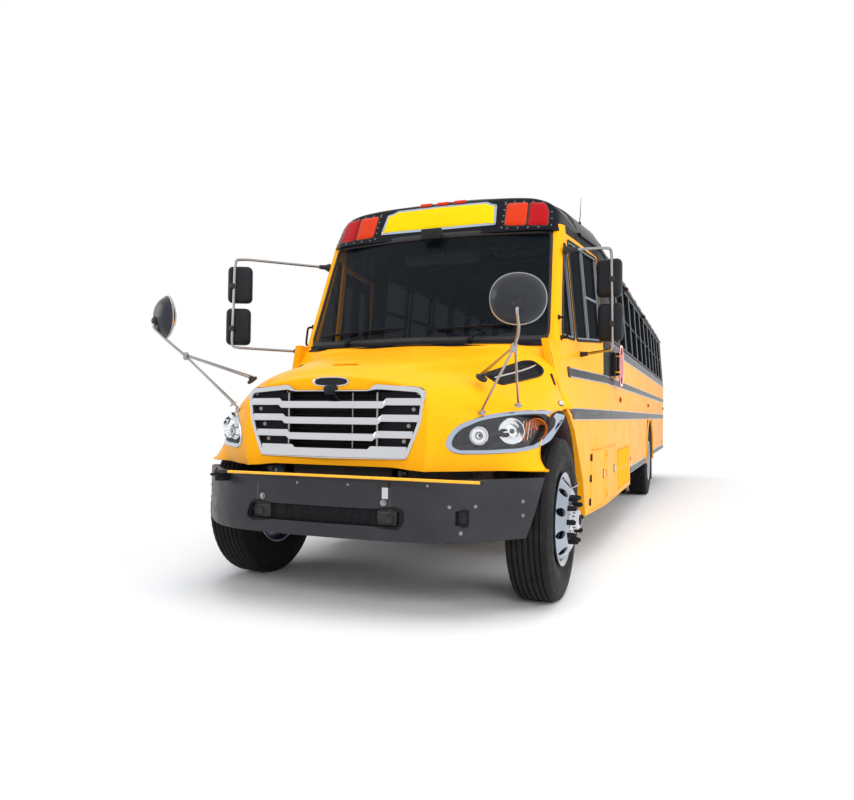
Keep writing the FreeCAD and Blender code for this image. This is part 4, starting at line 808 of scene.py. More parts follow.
hood_kit = Kit()
hood_lines = hood_rows()
hood_kit.grid(hood_lines)
front_ring = hood_lines[0] + [(x, hood_lines[0][-1][1], 872 + 16 * ease(-abs(x), -560, -380))
                             for x in range(570, -571, -60)]
hood_kit.grid([[(x * s, y, 1130 + (z - 1130) * s) for x, y, z in front_ring]
               for s in (1.0, 0.9, 0.7, 0.4, 0.1)], closed=True)
bmesh.ops.remove_doubles(hood_kit.mesh, verts=hood_kit.mesh.verts, dist=0.5)
bmesh.ops.recalc_face_normals(hood_kit.mesh, faces=hood_kit.mesh.faces)
hood = hood_kit.done("hood_shell", (), "nose", "yellow_paint", replaces=("hood",), angle=40)
skin_tree = BVHTree.FromObject(hood, bpy.context.evaluated_depsgraph_get())
thicken(hood, 0.012)


def nose_y(x, z):
    """Where the hood's skin lies, seen from ahead."""
    x = math.copysign(min(abs(x), 1166), x)
    hit = skin_tree.ray_cast(at(x, -2500, z), Vector((0, 1, 0)))[0]
    return hit.y * 1000 - AXLE if hit else -470.0


def side_x(y, z):
    """Half width of the hood's skin, seen from the driver's side."""
    hit = skin_tree.ray_cast(at(2500, y, z), Vector((-1, 0, 0)))[0]
    return hit.x * 1000 if hit else 1198.0


ARCH = [(-470, 860), (-468, 880), (-440, 960), (-350, 1080), (-200, 1170), (-50, 1212), (116, 1224),
        (205, 1240), (320, 1243)]
arch_line = curve_through(ARCH, 5)
GRILLE_OUT = [(0, 1334), (247, 1334), (293, 1369), (556, 1348), (594, 1312), (577, 1150),
              (496, 948), (470, 930), (0, 926)]
GRILLE_IN = [(0, 1319), (240, 1319), (300, 1330), (545, 1313), (566, 1292), (547, 1150),
             (474, 974), (452, 957), (0, 954)]
grille_out = rounded(GRILLE_OUT[:-1] + flipped(GRILLE_OUT[1:]), [2, 14, 14, 34, 34, 60, 40, 40]
                     + [2] + [40, 40, 60, 34, 34, 14, 14], 5)
grille_in = rounded(GRILLE_IN[:-1] + flipped(GRILLE_IN[1:]), [2, 14, 14, 26, 26, 60, 30, 30]
                    + [2] + [30, 30, 60, 26, 26, 14, 14], 5)
LAMP = [(705, 1012), (716, 1062), (752, 1116), (850, 1170), (1000, 1204), (1120, 1212),
        (1160, 1190), (1174, 1120), (1150, 1045), (1118, 1016), (1040, 992), (900, 984), (750, 984)]
lamp_line = rounded(LAMP, [34] + [60] * 11 + [34], 4)


def laid(points, centre, normal, along, out):
    """An outline (along, across) laid on the hood's skin, at a height off it."""
    normal = Vector(normal).normalized()
    along = (Vector(along) - normal * Vector(along).dot(normal)).normalized()
    across = normal.cross(along)
    places = []
    for a, b in points:
        start = at(*(Vector(centre) + along * a + across * b + normal * 300))
        hit, facing = skin_tree.ray_cast(start, -normal)[:2]
        if hit is None:
            hit, facing = at(*(Vector(centre) + along * a + across * b)), normal
        facing = facing if facing.dot(normal) > 0 else -facing
        spot = hit + facing * out / 1000
        places.append((spot.x * 1000, spot.y * 1000 - AXLE, spot.z * 1000))
    return places


VENT = ((890, -70, 1478), (0.63, -0.24, 0.74), (0.2, 0.96, 0.17))
vent_line = rounded([(-335, -44), (-300, -70), (250, -84), (322, -60), (326, 48), (262, 84),
                     (-300, 62), (-335, 30)], [22, 40, 60, 50, 50, 60, 40, 22], 5)


def across_bus(places, side):
    """The same places on this side of the bus."""
    return [(side * x, y, z) for x, y, z in places]


arch, opening, lamps, slot, vents = (Kit() for _ in range(5))
arch.plate("YZ", arch_line + [(320, 500), (-470, 500)], -2000, 2000)
opening.plate("XZ", grown(grille_in, 6), -1100, -860)
for side in (1, -1):
    lamps.plate("XZ", turned_over(lamp_line, side), -1100, -200)
    vents.grid([across_bus(laid(vent_line, *VENT, out), side) for out in (60, -60)],
               closed=True, caps=True)
slot.box((-86, -752, 1400), (86, -738, 1600))
for cutter in (arch, opening, lamps, slot, vents):
    carve(hood, cutter)
finished(hood, "yellow", 38)


def make_hood_trim():
    """The lips of the hood's wheel arches and of the slot in its top."""
    kit = Kit()
    for side in (1, -1):
        rows = []
        for y, z in arch_line[2:]:
            out = side_x(y, z + 6)
            rows.append([(side * (out + 1.5), y, z + 13), (side * (out + 4), y, z + 8),
                         (side * (out + 4), y, z), (side * (out - 6), y, z - 3),
                         (side * (out - 45), y, z - 3)])
        kit.grid(rows)
    kit.plate("XZ", rounded(rect(-88, 88, 1494, 1500), 3), -770, -741)
    kit.done("hood_lips", "yellow", "nose", "yellow_paint")


def make_grille():
    """The grille's bright frame and its four bowed bars."""
    kit = Kit()
    kit.frame("XZ", [(grown(grille_out, 2), NOSE_FACE + 22), (grille_out, NOSE_FACE - 6),
                     (grown(grille_out, -5), NOSE_FACE - 17), (grown(grille_in, 6), NOSE_FACE - 19),
                     (grille_in, NOSE_FACE - 12), (grille_in, NOSE_FACE + 26)])
    for middle, step, drop in ((1262, 335, 22), (1168, 308, 22), (1074, 276, 22), (985, 240, 50)):
        inner = 566 if middle > 1250 else 474 + (middle - 974) * 0.41
        rows = []
        spots = [-inner - 4, -step - 60, -step - 24, -step, -step * 0.5, 0, step * 0.5, step,
                 step + 24, step + 60, inner + 4]
        for x in curve_spots(spots, 4):
            fall = 18 * (1 - ease(abs(x), step, step + 24))
            top = middle + 24 - fall
            low = middle - drop - (fall if drop < 40 else 0)
            rows.append([(x, NOSE_FACE + y, z) for y, z in
                         rounded([(-20, low + 2), (-21, low + 9), (-9, top),
                                  (16, top - 2), (16, low)], 6, 3)])
        kit.grid(rows, closed=True, caps=True)
    for vert in kit.mesh.verts:
        vert.co.y += nose_plan(vert.co.x)
    kit.done("grille_frame", "grille_chrome", "nose", "chrome", 50, replaces=("grille",))


def curve_spots(spots, parts):
    """The spots, with each run between them divided into parts."""
    line = []
    for a, b in zip(spots, spots[1:]):
        line += [a + (b - a) * i / parts for i in range(parts)]
    return line + [spots[-1]]


def make_behind_grille():
    """The dark ducts at the sides, the cooler's tubes and its posts behind the grille."""
    kit = Kit()
    for side in (1, -1):
        kit.plate("XZ", [(side * 300, 940), (side * 470, 940), (side * 590, 1320),
                         (side * 300, 1320)], -898, -890, 0, 0)
        for z in (985, 1074, 1168, 1262):
            kit.bolt((side * (455 + (z - 985) * 0.32), -899, z + 52), (0, -1, 0), 8, 1)
        kit.box((side * 296 - 6, -925, 935), (side * 296 + 6, -880, 1318), 2, 1)
        kit.box((side * 292 - 4, -893, 900), (side * 292 + 4, -700, 1320), 1, 0)
    for i in range(13):
        z = 955 + i * 29
        kit.tube([(-292, -868, z), (292, -868, z)], 7.5, sides=8, mat=2)
    kit.tube([(118, -884, 935), (118, -884, 1318)], 5, sides=8, mat=1)
    kit.box((-292, -852, 880), (292, -848, 1325), 0, 0)
    kit.done("grille_inner", ("satin_black", "steel", "plastic"), "nose", "chrome")


def make_badge():
    """A blank oval badge, and the small camera box under it."""
    kit = Kit()
    z = 1381
    kit.frame("XZ", [(oval(wide, high, (0, z), 40, 2.6), depth) for wide, high, depth in
                     ((120, 29, -925), (120, 29, -947), (113, 23, -950), (107, 19, -944))])
    kit.plate("XZ", oval(109, 21, (0, z), 40, 2.6), -925, -944, 0, 1)
    kit.box((-44, -958, 1318), (44, -922, 1352), 7, 1)
    kit.box((-30, -966, 1304), (30, -930, 1346), 6, 1)
    kit.lathe([(0, 15), (8, 15), (9, 12), (6, 10)], (0, -966, 1324), (0, -1, 0), 24, 1)
    kit.tube([(30, -950, 1312), (44, -952, 1286), (60, -940, 1270)], 3, 14, 8, 1)
    kit.done("nose_badge", ("chrome", "plastic"), "nose", "chrome")


def make_headlamp(side):
    """One headlamp: its bezel, its bowl with three cups, and its lens."""
    def ring(grow, depth):
        return [(side * x, nose_y(x, z) + depth, z) for x, z in grown(lamp_line, grow)]

    bezel = Kit()
    bezel.grid([ring(19, 5), ring(18, -4), ring(11, -9), ring(-2, -9), ring(-7, -4),
                ring(-9, 22)], closed=True)
    name = WORD[side]
    bezel.done(f"headlamp_bezel_{name}", "satin_chrome", "nose", "lamp_lens", angle=60)
    bowl = Kit()
    middle = (965, 1095)

    def shrunk(share, depth, grow=-8):
        return [(side * (middle[0] + (x - middle[0]) * share),
                 nose_y(x, z) * 0.35 - 590 * 0.65 + depth if depth > 60 else nose_y(x, z) + depth,
                 middle[1] + (z - middle[1]) * share) for x, z in grown(lamp_line, grow)]

    bowl.grid([shrunk(1, 12), shrunk(0.99, 32), shrunk(0.94, 62), shrunk(0.6, 84),
               shrunk(0.05, 84)], closed=True)
    for x, z, radius, mat in ((832, 1072, 52, 1), (985, 1098, 74, 2), (1098, 1112, 62, 3)):
        y = nose_y(x, z) + 70
        cup = [(58, radius), (54, radius * 1.06), (50, radius), (28, radius * 0.86),
               (6, radius * 0.5), (0, radius * 0.2)]
        bowl.lathe(cup, (side * x, y, z), (side * 0.18, -1, 0), 40, mat if mat > 1 else 2, True)
        if mat == 1:
            bowl.dome((side * x, y - 26, z), (43, 30, 43), 4, steps=32)
            bowl.lathe([(52, 44), (60, 46), (60, 52), (46, 54)], (side * x, y, z),
                       (side * 0.18, -1, 0), 40, 1, True)
        else:
            bowl.lathe([(0, 12), (34, 11), (44, 6), (48, 0)], (side * x, y, z),
                       (side * 0.18, -1, 0), 16, 3 if mat == 3 else 4)
    for i in range(9):
        x = 1040 + i * 13
        bowl.tube([(side * x, nose_y(x, 1150) + 42, 1160), (side * x, nose_y(x, 1040) + 42, 1040)],
                  3.2, sides=6, mat=3 if i % 2 else 2)
    bowl.done(f"headlamp_bowl_{name}", ("satin_black", "chrome", "bright", "lamp_amber", "clear"),
              "nose", "lamp_lens", angle=50, replaces=("headlamps",))
    lens = Kit()
    rows = []
    for share in (1, 0.86, 0.7, 0.5, 0.3, 0.1, 0.01):
        line = []
        for x, z in grown(lamp_line, -5):
            a = middle[0] + (x - middle[0]) * share
            b = middle[1] + (z - middle[1]) * share
            line.append((side * a, nose_y(a, b) - 3 * (1 - share), b))
        rows.append(line)
    lens.grid(rows, closed=True)
    lens.done(f"headlamp_lens_{name}", "clear", "nose", "lamp_lens", angle=60)


make_hood_trim()
make_grille()
make_behind_grille()
make_badge()
for side in (1, -1):
    make_headlamp(side)


def make_hood_fittings():
    """The side vents, latches and small lamps on the hood's flanks."""
    kit = Kit()
    for side in (1, -1):
        def put(points, out):
            return across_bus(laid(points, *VENT, out), side)

        kit.grid([put(grown(vent_line, 9), -1), put(grown(vent_line, 8), 4),
                  put(grown(vent_line, 1), 6), put(grown(vent_line, -3), 1),
                  put(grown(vent_line, -10), -22), put([(a * 0.8, b * 0.6) for a, b in vent_line],
                                                       -36),
                  put([(a * 0.05, b * 0.05) for a, b in vent_line], -38)], 0, closed=True)
        bar = [(a, 0) for a in range(-300, 301, 50)]
        middle = [Vector(p) for p in put(bar, 4)]
        kit.tube(middle, [5] + [10] * (len(middle) - 2) + [5], sides=12, mat=1)
        for b in (-46, 44):
            fin = [Vector(p) for p in put([(a, b) for a in range(-250, 251, 50)], -14)]
            kit.tube(fin, 5, sides=8, mat=0)
        latch = ((1030, 268, 1428), (0.92, -0.14, 0.36), (-0.3, 0.05, 0.95))
        plate = rounded(rect(-44, 44, -10, 10), 8, 4)
        lamp = ((1143, 183, 1280), (0.72, -0.04, 0.69), (0, 1, 0))
        shape = oval(44, 15, steps=24, power=2.4)
        for outline, spot, rings, mat, caps in (
                (plate, latch, ((0, -1), (0, 5), (-3, 7), (-6, 3), (-9, 3)), 0, True),
                (shape, lamp, ((5, -1), (4, 3), (0, 4)), 0, False),
                (shape, lamp, ((0, 2), (-1, 8), (-5, 13), (-11, 15)), 2, True)):
            kit.grid([across_bus(laid(grown(outline, grow), *spot, out), side)
                      for grow, out in rings], mat, closed=True, caps=caps)
    kit.done("hood_fittings", ("plastic", "chrome", "white_lens"), "nose", "black_paint", 40)


make_hood_fittings()

# ---------------------------------------------------------------- windscreen, cap and roof

SCREEN_BOW = ((0, 1.0), (0.2, 0.965), (0.35, 0.88), (0.55, 0.69), (0.7, 0.5), (0.85, 0.26), (1, 0))


def screen_half(z):
    """The screen's rise from its foot, as a share, and its half width there."""
    up = (z - 1740) / 960
    return up, half_width(510, 1740) * (1 - up) + half_width(905, EAVES) * up


def screen_place(share, height, depth):
    """A place on the bowed, raked screen; share runs from -1 to 1 across it."""
    up, out = screen_half(height)
    bow = 0.0
    for (low, start), (high, end) in zip(SCREEN_BOW, SCREEN_BOW[1:]):
        if abs(share) <= high + 1e-6:
            bow = start + (end - start) * (abs(share) - low) / (high - low)
            break
    return (share * out, 510 + 395 * up - 145 * bow + depth, height)


def screen_point(x, z, depth):
    """The same, by the distance from the middle."""
    return screen_place(max(-1.0, min(1.0, x / screen_half(z)[1])), z, depth)


def screen_outline(grow):
    """The rounded edge of the glass, in (X, Z)."""
    corners = [(988, 1758), (932, 2642), (-932, 2642), (-988, 1758)]
    full = []
    line = rounded(grown(corners, grow), [70 + grow, 60 + grow, 60 + grow, 70 + grow], 7)
    base = rounded(corners, [70, 60, 60, 70], 7)
    for i, (a, b) in enumerate(zip(line, line[1:] + line[:1])):
        span = Vector(base[(i + 1) % len(base)]) - Vector(base[i])
        parts = max(1, int(span.length / 70))
        full += [(a[0] + (b[0] - a[0]) * k / parts, a[1] + (b[1] - a[1]) * k / parts)
                 for k in range(parts)]
    return full


def make_windscreen():
    """The windscreen's glass and its rubber."""
    kit = Kit()
    rows = []
    for i in range(15):
        z = 1748 + (2652 - 1748) * i / 14
        half = 1000 - (z - 1748) * 0.062
        rows.append([screen_point(-half + 2 * half * j / 48, z, 8) for j in range(49)])
    kit.grid(rows)
    kit.done("windscreen_glass", "screen", "body", "window_glass", 60, replaces=("windshield",))
    kit = Kit()

    def ring(grow, depth):
        return [screen_point(x, z, depth) for x, z in screen_outline(grow)]

    kit.grid([ring(-26, 9), ring(-26, 4), ring(-20, -4), ring(4, -8), ring(22, -6), ring(27, 2)],
             closed=True)
    kit.done("windscreen_gasket", "rubber", "body", "black_paint", 60)


def make_wipers():
    """Both wipers, parked along the foot of the windscreen."""
    kit = Kit()
    for foot, elbow, tip_low, tip_high in ((-600, -420, -890, -120), (430, 600, 60, 830)):
        start = Vector(screen_point(foot, 1752, -34))
        lift = 1812 if foot < 0 else 1822
        middle = Vector(screen_point(elbow - 60, lift, -30))
        kit.lathe([(0, 22), (26, 20), (34, 14), (36, 0)], start + Vector((0, 12, -8)),
                  (0, -0.9, 0.4), 20)
        kit.tube([start, (start + middle) / 2 + Vector((0, -12, 6)), middle], [9, 7, 6], sides=8)
        blade = [screen_point(tip_low + (tip_high - tip_low) * i / 8, lift + 10 + 5 * i, -8)
                 for i in range(9)]
        kit.tube(blade, 5, sides=6)
        kit.tube([Vector(p) + Vector((0, -14, 4)) for p in blade[1:-1]], 7, sides=8)
        kit.tube([middle, Vector(blade[4]) + Vector((0, -14, 4))], 6, sides=8)
    kit.done("wipers", "satin_black", "body", "black_paint")


CAP = (
    # foot (x, y) at 2640, crest (x, y, z), tail (x, z) at the cap's rear edge
    ((0, 745), (0, 922, 2950), (0, 3086)),
    ((260, 747), (250, 919, 2947), (250, 3076)),
    ((520, 752), (505, 912, 2939), (500, 3052)),
    ((760, 775), (735, 912, 2920), (740, 3000)),
    ((885, 803), (855, 918, 2890), (880, 2940)),
    ((955, 845), (925, 943, 2855), (965, 2880)),
    ((1000, 905), (975, 983, 2810), (1015, 2815)),
    ((1035, 1080), (1020, 1118, 2760), (1045, 2755)),
    ((1060, 1300), (1058, 1300, 2700), (1060, 2700)),
)
CAP_END = 1302


def cap_columns():
    """The roof cap's skin as columns of places that run up and back over it."""
    columns = []
    for foot, crest, tail in CAP:
        a = Vector((foot[0], foot[1], 2638))
        c = Vector(crest)
        e = Vector((tail[0], CAP_END, tail[1]))
        run = e - c
        points = [a, a.lerp(c, 0.45), a.lerp(c, 0.86), c + (c - a) * 0.04 + run * 0.03,
                  c + run * 0.22 + Vector((0, 0, 6)), c + run * 0.6, e]
        columns.append([v for p in points for v in p])
    full = [tuple(-v if i % 3 == 0 else v for i, v in enumerate(c)) for c in reversed(columns[1:])]
    wide = curve_through(full + columns, 5)
    return [curve_through([row[i:i + 3] for i in range(0, 21, 3)], 6) for row in wide]


def make_cap():
    """The roof cap with its blank sign, warning lamps and marker lamps."""
    kit = Kit()
    kit.grid(cap_columns())
    bmesh.ops.recalc_face_normals(kit.mesh, faces=kit.mesh.faces)
    cap = kit.done("roof_cap_shell", (), "body", "black_paint", 45, replaces=("roof_cap",))
    tree = BVHTree.FromObject(cap, bpy.context.evaluated_depsgraph_get())
    thicken(cap, 0.014)
    finished(cap, "black", 45)

    def on_cap(x, z, out):
        hit, normal = tree.ray_cast(at(x, -500, z), Vector((0, 1, 0)))[:2]
        if hit is None:
            hit, normal = at(x, 860, z), Vector((0, -1, 0))
        normal = normal if normal.y < 0 else -normal
        spot = hit + normal * out / 1000
        return (spot.x * 1000, spot.y * 1000 - AXLE, spot.z * 1000)

    def patch(part, outline, out, mat, rim=0.0, edge=6):
        """A plate laid on the cap's face: its edge, then its flat middle in rings."""
        mid_x, mid_z = (sum(values) / len(outline) for values in zip(*outline))
        ring = grown(outline, -edge)
        rows = [[on_cap(x, z, height) for x, z in line] for line, height in
                ((outline, -4), (outline, out), (ring, out + rim))]
        for share in (0.75, 0.5, 0.25, 0.02):
            rows.append([on_cap(mid_x + (x - mid_x) * share, mid_z + (z - mid_z) * share,
                                out + rim) for x, z in ring])
        part.grid(rows, mat, closed=True)

    sign = Kit()
    panel = [(500, 2700), (500, 2728), (484, 2890), (430, 2905), (400, 2928), (0, 2936)]
    outer = panel + flipped(panel[:-1])
    outer = rounded(outer, [10] * 3 + [16] * 2 + [3] + [16] * 2 + [10] * 3, 3)
    patch(sign, outer, 7, 0, 2, 5)
    patch(sign, grown(outer, -20), 10, 1, 1, 3)
    for x, z in grown(outer, -10)[::9]:
        sign.bolt(on_cap(x, z, 8), (0, -0.85, 0.5), 4, 2)
    sign.done("front_sign_panel", ("satin_chrome", "sign_yellow", "steel"), "body", "black_paint",
              50)
    lamps = Kit()
    for side in (1, -1):
        for edge, mat in (([(574, 2688), (742, 2678), (738, 2884), (568, 2890)], 0),
                          ([(758, 2677), (905, 2672), (900, 2800), (868, 2872), (754, 2883)], 1)):
            line = rounded(edge, 18, 4)
            patch(lamps, turned_over(line, side), 9, mat, 9, 16)
            patch(lamps, turned_over(grown(line, 9), side), 3, 2, 2, 4)
        for x, z in [(552, 2675 + 54 * i) for i in range(5)] + [(930, 2680), (928, 2740),
                                                               (922, 2800)] + \
                [(552 + 75 * i, 2908 - 1.4 * i * i) for i in range(5)] + \
                [(600 + 80 * i, 2664 - i) for i in range(4)]:
            lamps.bolt(on_cap(side * x, z, 0), (0, -0.9, 0.45), 5, 3)
    lamps.done("front_warning_lamps", ("amber", "red", "rubber", "steel"), "body", "lamp_lens", 50)
    markers = Kit()
    for x in (-150, 0, 150):
        line = rounded(rect(x - 52, x + 52, 2941, 2967), 8, 3)
        patch(markers, grown(line, 7), 5, 1, 2, 4)
        patch(markers, line, 12, 0, 8, 8)
    markers.done("front_marker_lamps", ("amber", "rubber"), "body", "lamp_lens", 50)


ROOF_SHARES = ((0, 1), (0.22, 0.985), (0.42, 0.94), (0.58, 0.87), (0.72, 0.77), (0.84, 0.635),
               (0.93, 0.45), (0.98, 0.23), (1, 0))


def roof_line(y, inset=0):
    """The roof's outline (x, z) at y, from one side to the other; inset lies under it."""
    half = half_width(y, EAVES) - inset
    line = [(half * wide, EAVES + (390 - inset) * up) for wide, up in curve_through(ROOF_SHARES, 3)]
    return [(-x, z) for x, z in reversed(line[1:])] + line


def make_roof():
    """The roof's skin and bows, and its two hatches on their curbs."""
    kit = Kit()
    spots = [1300, 1500, 1700, 1900] + [1900 + 8550 * i / 24 for i in range(1, 25)]
    rows = []
    for y in spots:
        loop = roof_line(y) + roof_line(y, 50)[::-1]
        rows.append([(x, y, z) for x, z in loop])
    kit.grid(rows, closed=True, caps=True)
    for face in kit.mesh.faces:
        centre = face.calc_center_median()
        inner = abs(centre.x) < half_width(centre.y, EAVES) - 30 and face.normal.z < 0.05
        face.material_index = 1 if inner else 0
    hole = Kit()
    for y in (3300, 8300):
        hole.box((-300, y - 300, 2800), (300, y + 300, 3200))
    kit.done("roof_shell", ("black", "lining"), "body", "black_paint", 40, replaces=("roof",),
             cutters=(hole,))
    bows = Kit()
    for i in range(12):
        y = 2218 + PITCH * i
        rows = []
        for step, out in ((-34, 0), (-30, 3.5), (30, 3.5), (34, 0)):
            rows.append([(x * (1 + out / 1150), y + step, z + out) for x, z in roof_line(y + step)])
        bows.grid(rows)
        for x, z in roof_line(y)[2:-2:2]:
            for step in (-20, 20):
                bows.bolt((x * 1.003, y + step, z + 3.5), (x / 1500, 0, 1), 4)
    for side in (1, -1):
        rows = []
        for y in (1310, 1500, 1700, 1900, 4000, 7000, 10440):
            wide = half_width(y, EAVES)
            rows.append([(side * (wide + out), y, EAVES + z) for out, z in
                         ((-4, 22), (20, 16), (24, 4), (20, -6), (-4, -10))])
        bows.grid(rows)
    bows.done("roof_bows", "black", "body", "black_paint", 40)
    for end, y, body in (("front", 3300, "hatch_front"), ("rear", 8300, "hatch_rear")):
        lid = Kit()
        outline = rounded(rect(-338, 338, y - 338, y + 338), 46, 5)
        lid.frame("XY", [(outline, 3102.8), (outline, 3116), (grown(outline, -12), 3124),
                         (grown(outline, -60), 3126), (grown(outline, -72), 3120),
                         (grown(outline, -72), 3106), (grown(outline, -20), 3103)])
        lid.plate("XY", grown(outline, -70), 3105, 3121, 2)
        for i in range(-3, 4):
            lid.box((i * 66 - 12, y - 220, 3119), (i * 66 + 12, y + 220, 3128), 4)
        lid.box((-60, y + 250, 3060), (60, y + 268, 3104), 3, 1)
        lid.done(f"roof_hatch_lid_{end}", ("black", "plastic"), body, "black_paint", 40,
                 replaces=(f"roof_hatch_{end}",))
        curb = Kit()
        inner = rect(-300, 300, y - 300, y + 300)
        curb.frame("XY", [(inner, 3020), (inner, 3101), (grown(inner, 24), 3101),
                          (grown(inner, 30), 3096), (grown(inner, 30), 3050)])
        curb.done(f"roof_hatch_curb_{end}", "satin_black", "body", "black_paint", 40)


make_windscreen()
make_wipers()
make_cap()
make_roof()

# ---------------------------------------------------------------- bumpers and the guard arm

BUMPER = ((0, 0), (340, 12), (600, 50), (760, 118), (900, 225), (1040, 375), (1130, 480),
          (1181, 572))


def bumper_line(inset=0):
    """The front bumper's outline (x, y) seen from above; inset lies inside it."""
    half = curve_through(BUMPER, 6)
    line = [(-x, -1060 + y) for x, y in reversed(half[1:])] + [(x, -1060 + y) for x, y in half]
    if not inset:
        return line
    moved = []
    for i, point in enumerate(line):
        a = Vector(line[max(i - 1, 0)])
        b = Vector(line[min(i + 1, len(line) - 1)])
        along = (b - a).normalized()
        moved.append((point[0] - along.y * inset, point[1] + along.x * inset))
    return moved


def bumper_y(x):
    """Where the front bumper's face lies at x."""
    line = bumper_line()
    for (x0, y0), (x1, y1) in zip(line, line[1:]):
        if x0 <= x <= x1:
            return y0 + (y1 - y0) * (x - x0) / (x1 - x0)
    return line[-1][1]


def make_bumper():
    """The front bumper, its fittings and its brackets."""
    kit = Kit()
    low, high = 487, 829
    rings = ((11, low + 3), (3, low), (0, low + 5), (0, (low + high) / 2), (0, high - 6),
             (3, high), (46, high), (46, high - 7), (10, high - 8), (10, low + 40))
    rows = [[(x, y, z) for x, y in bumper_line(inset)] for inset, z in rings]
    columns = [list(column) for column in zip(*rows)]
    kit.grid(columns, closed=True, caps=True)
    ends = Kit()
    for side in (1, -1):
        ends.plate("YZ", [(-620, 460), (-612, 501), (-489, 832), (-480, 870), (-300, 870),
                          (-300, 460)], side * 700, side * 1400)
    holes = Kit()
    slot = rounded([(-500, 580), (-474, 664), (474, 664), (498, 650), (498, 590), (474, 566),
                    (-470, 566)], [30, 30, 24, 20, 20, 30, 20], 5)
    holes.plate("XZ", slot, -1200, -990)
    pocket = rounded(rect(778, 842, 580, 662), 8, 3)
    holes.plate("XZ", pocket, -1100, -880)
    kit.done("front_bumper_shell", "hammered", "body", "bumper_black", 40,
             replaces=("front_bumper",), cutters=(ends, holes))
    fill = Kit()
    fill.frame("XZ", [(grown(slot, 2), -1049), (slot, -1006), (grown(slot, 14), -1006),
                      (grown(slot, 14), -1040)], 0)
    for i in range(9):
        fill.box((-470, -1012, 572 + i * 10.5), (470, -1002, 576 + i * 10.5), 0, 1)
    for x in range(-440, 441, 55):
        fill.tube([(x, -1014, 566), (x + (24 if x % 110 else -10), -1014, 664)], 2.5, sides=6,
                  mat=1)
    fill.box((-478, -1000, 560), (478, -996, 670), 0, 2)
    for side in (1, -1):
        fill.box((side * 350, -1022, 570), (side * 470, -1004, 662), 4, 2)
        fill.lathe([(0, 26), (10, 26), (12, 22), (6, 10)], (side * 425, -1018, 608), (0, -1, 0),
                   20, 2)
    for x, z, size in ((-395, 700, 13), (395, 700, 13), (750, 684, 7), (872, 684, 7), (805, 540, 8),
                       (-150, 790, 5), (180, 792, 5), (640, 800, 5), (1085, 620, 8), (1085, 700, 8),
                       (-1085, 620, 8), (-1085, 700, 8)):
        along = bumper_y(x)
        lean = (bumper_y(x + 5) - bumper_y(x - 5)) / 10
        fill.bolt((x, along + 1, z), Vector((lean, -1, 0)), size, 3)
    fill.frame("XZ", [(grown(pocket, 6), bumper_y(810) + 8), (grown(pocket, 6), bumper_y(810) - 5),
                      (grown(pocket, -4), bumper_y(810) - 3), (grown(pocket, -4), -880)], 0)
    fill.box((775, -890, 575), (845, -884, 666), 0, 2)
    fill.box((388, bumper_y(405) - 9, 722), (428, bumper_y(405) + 2, 800), 4, 4)
    fill.box((382, bumper_y(405) - 22, 786), (432, bumper_y(405) + 4, 846), 5, 2)
    fill.done("front_bumper_fittings", ("satin_black", "plastic", "rubber", "steel", "chrome"),
              "body", "bumper_black")
    under = Kit()
    under.box((-560, -1000, 500), (560, -940, 560), 8, 0)
    for side in (1, -1):
        under.box((side * 424, -1040, 660), (side * 440, -700, 780), 3, 0)
        under.box((side * 700, -930, 560), (side * 780, -680, 575), 3, 0)
    under.done("front_bumper_brackets", "chassis", "body", "chassis_black")


def make_guard_arm():
    """The crossing arm's rod on its pivot, and the motor below it."""
    kit = Kit()
    pivot = Vector((-700, -1084, 836))
    kit.lathe([(-9, 13), (-7, 16), (10, 16), (12, 13)], pivot + Vector((0, 0, -1)), (0, 0, 1), 24,
              1)
    kit.box(pivot + Vector((-4, -12, -6)), pivot + Vector((85, 12, 12)), 4, 1)
    kit.tube([pivot + Vector((40, 0, 2)), pivot + Vector((900, 0, 3)),
              pivot + Vector((1672, 0, 2))], 8.4, sides=16)
    kit.lathe([(0, 9.4), (22, 9.4), (25, 6)], pivot + Vector((1670, 0, 2)), (1, 0, 0), 16, 1)
    kit.done("guard_arm_rod", ("arm_yellow", "rubber"), "guard_arm", "arm_yellow",
             replaces=("crossing_arm",))
    base = Kit()
    base.box(pivot + Vector((-34, -18, -26)), pivot + Vector((34, 150, -10)), 4)
    base.box(pivot + Vector((-30, 20, -60)), pivot + Vector((30, 118, -12)), 8)
    base.tube([pivot + Vector((0, 0, -20)), pivot + Vector((0, 0, 24))], 5.6, sides=12)
    base.done("guard_arm_motor", "satin_black", "body", "bumper_black")


# ---------------------------------------------------------------- wheels

def tread_profile(half):
    """Half widths and radii over a ribbed tread, from the inner bead to the outer one."""
    side = [(half - 28, 292), (half - 24, 300), (half - 17, 330), (half - 6, 372),
            (half - 3.5, 376), (half - 3.5, 382), (half - 0.5, 388), (half, 418), (half - 1, 440),
            (half - 4, 452), (half - 4, 458), (half - 7, 464), (half - 9, 486), (half - 10, 492),
            (half - 16, 507), (half - 24, 516), (half - 32, 519)]
    ribs = []
    for groove in (84, 52, 18):
        if groove < half - 34:
            ribs += [(groove + 6, 523.5), (groove + 4.5, 521), (groove + 2.5, 509),
                     (groove - 2.5, 509), (groove - 4.5, 521), (groove - 6, 523.8)]
    right = side + ribs
    return [(-a, r) for a, r in right] + [(a, r) for a, r in reversed(right)]


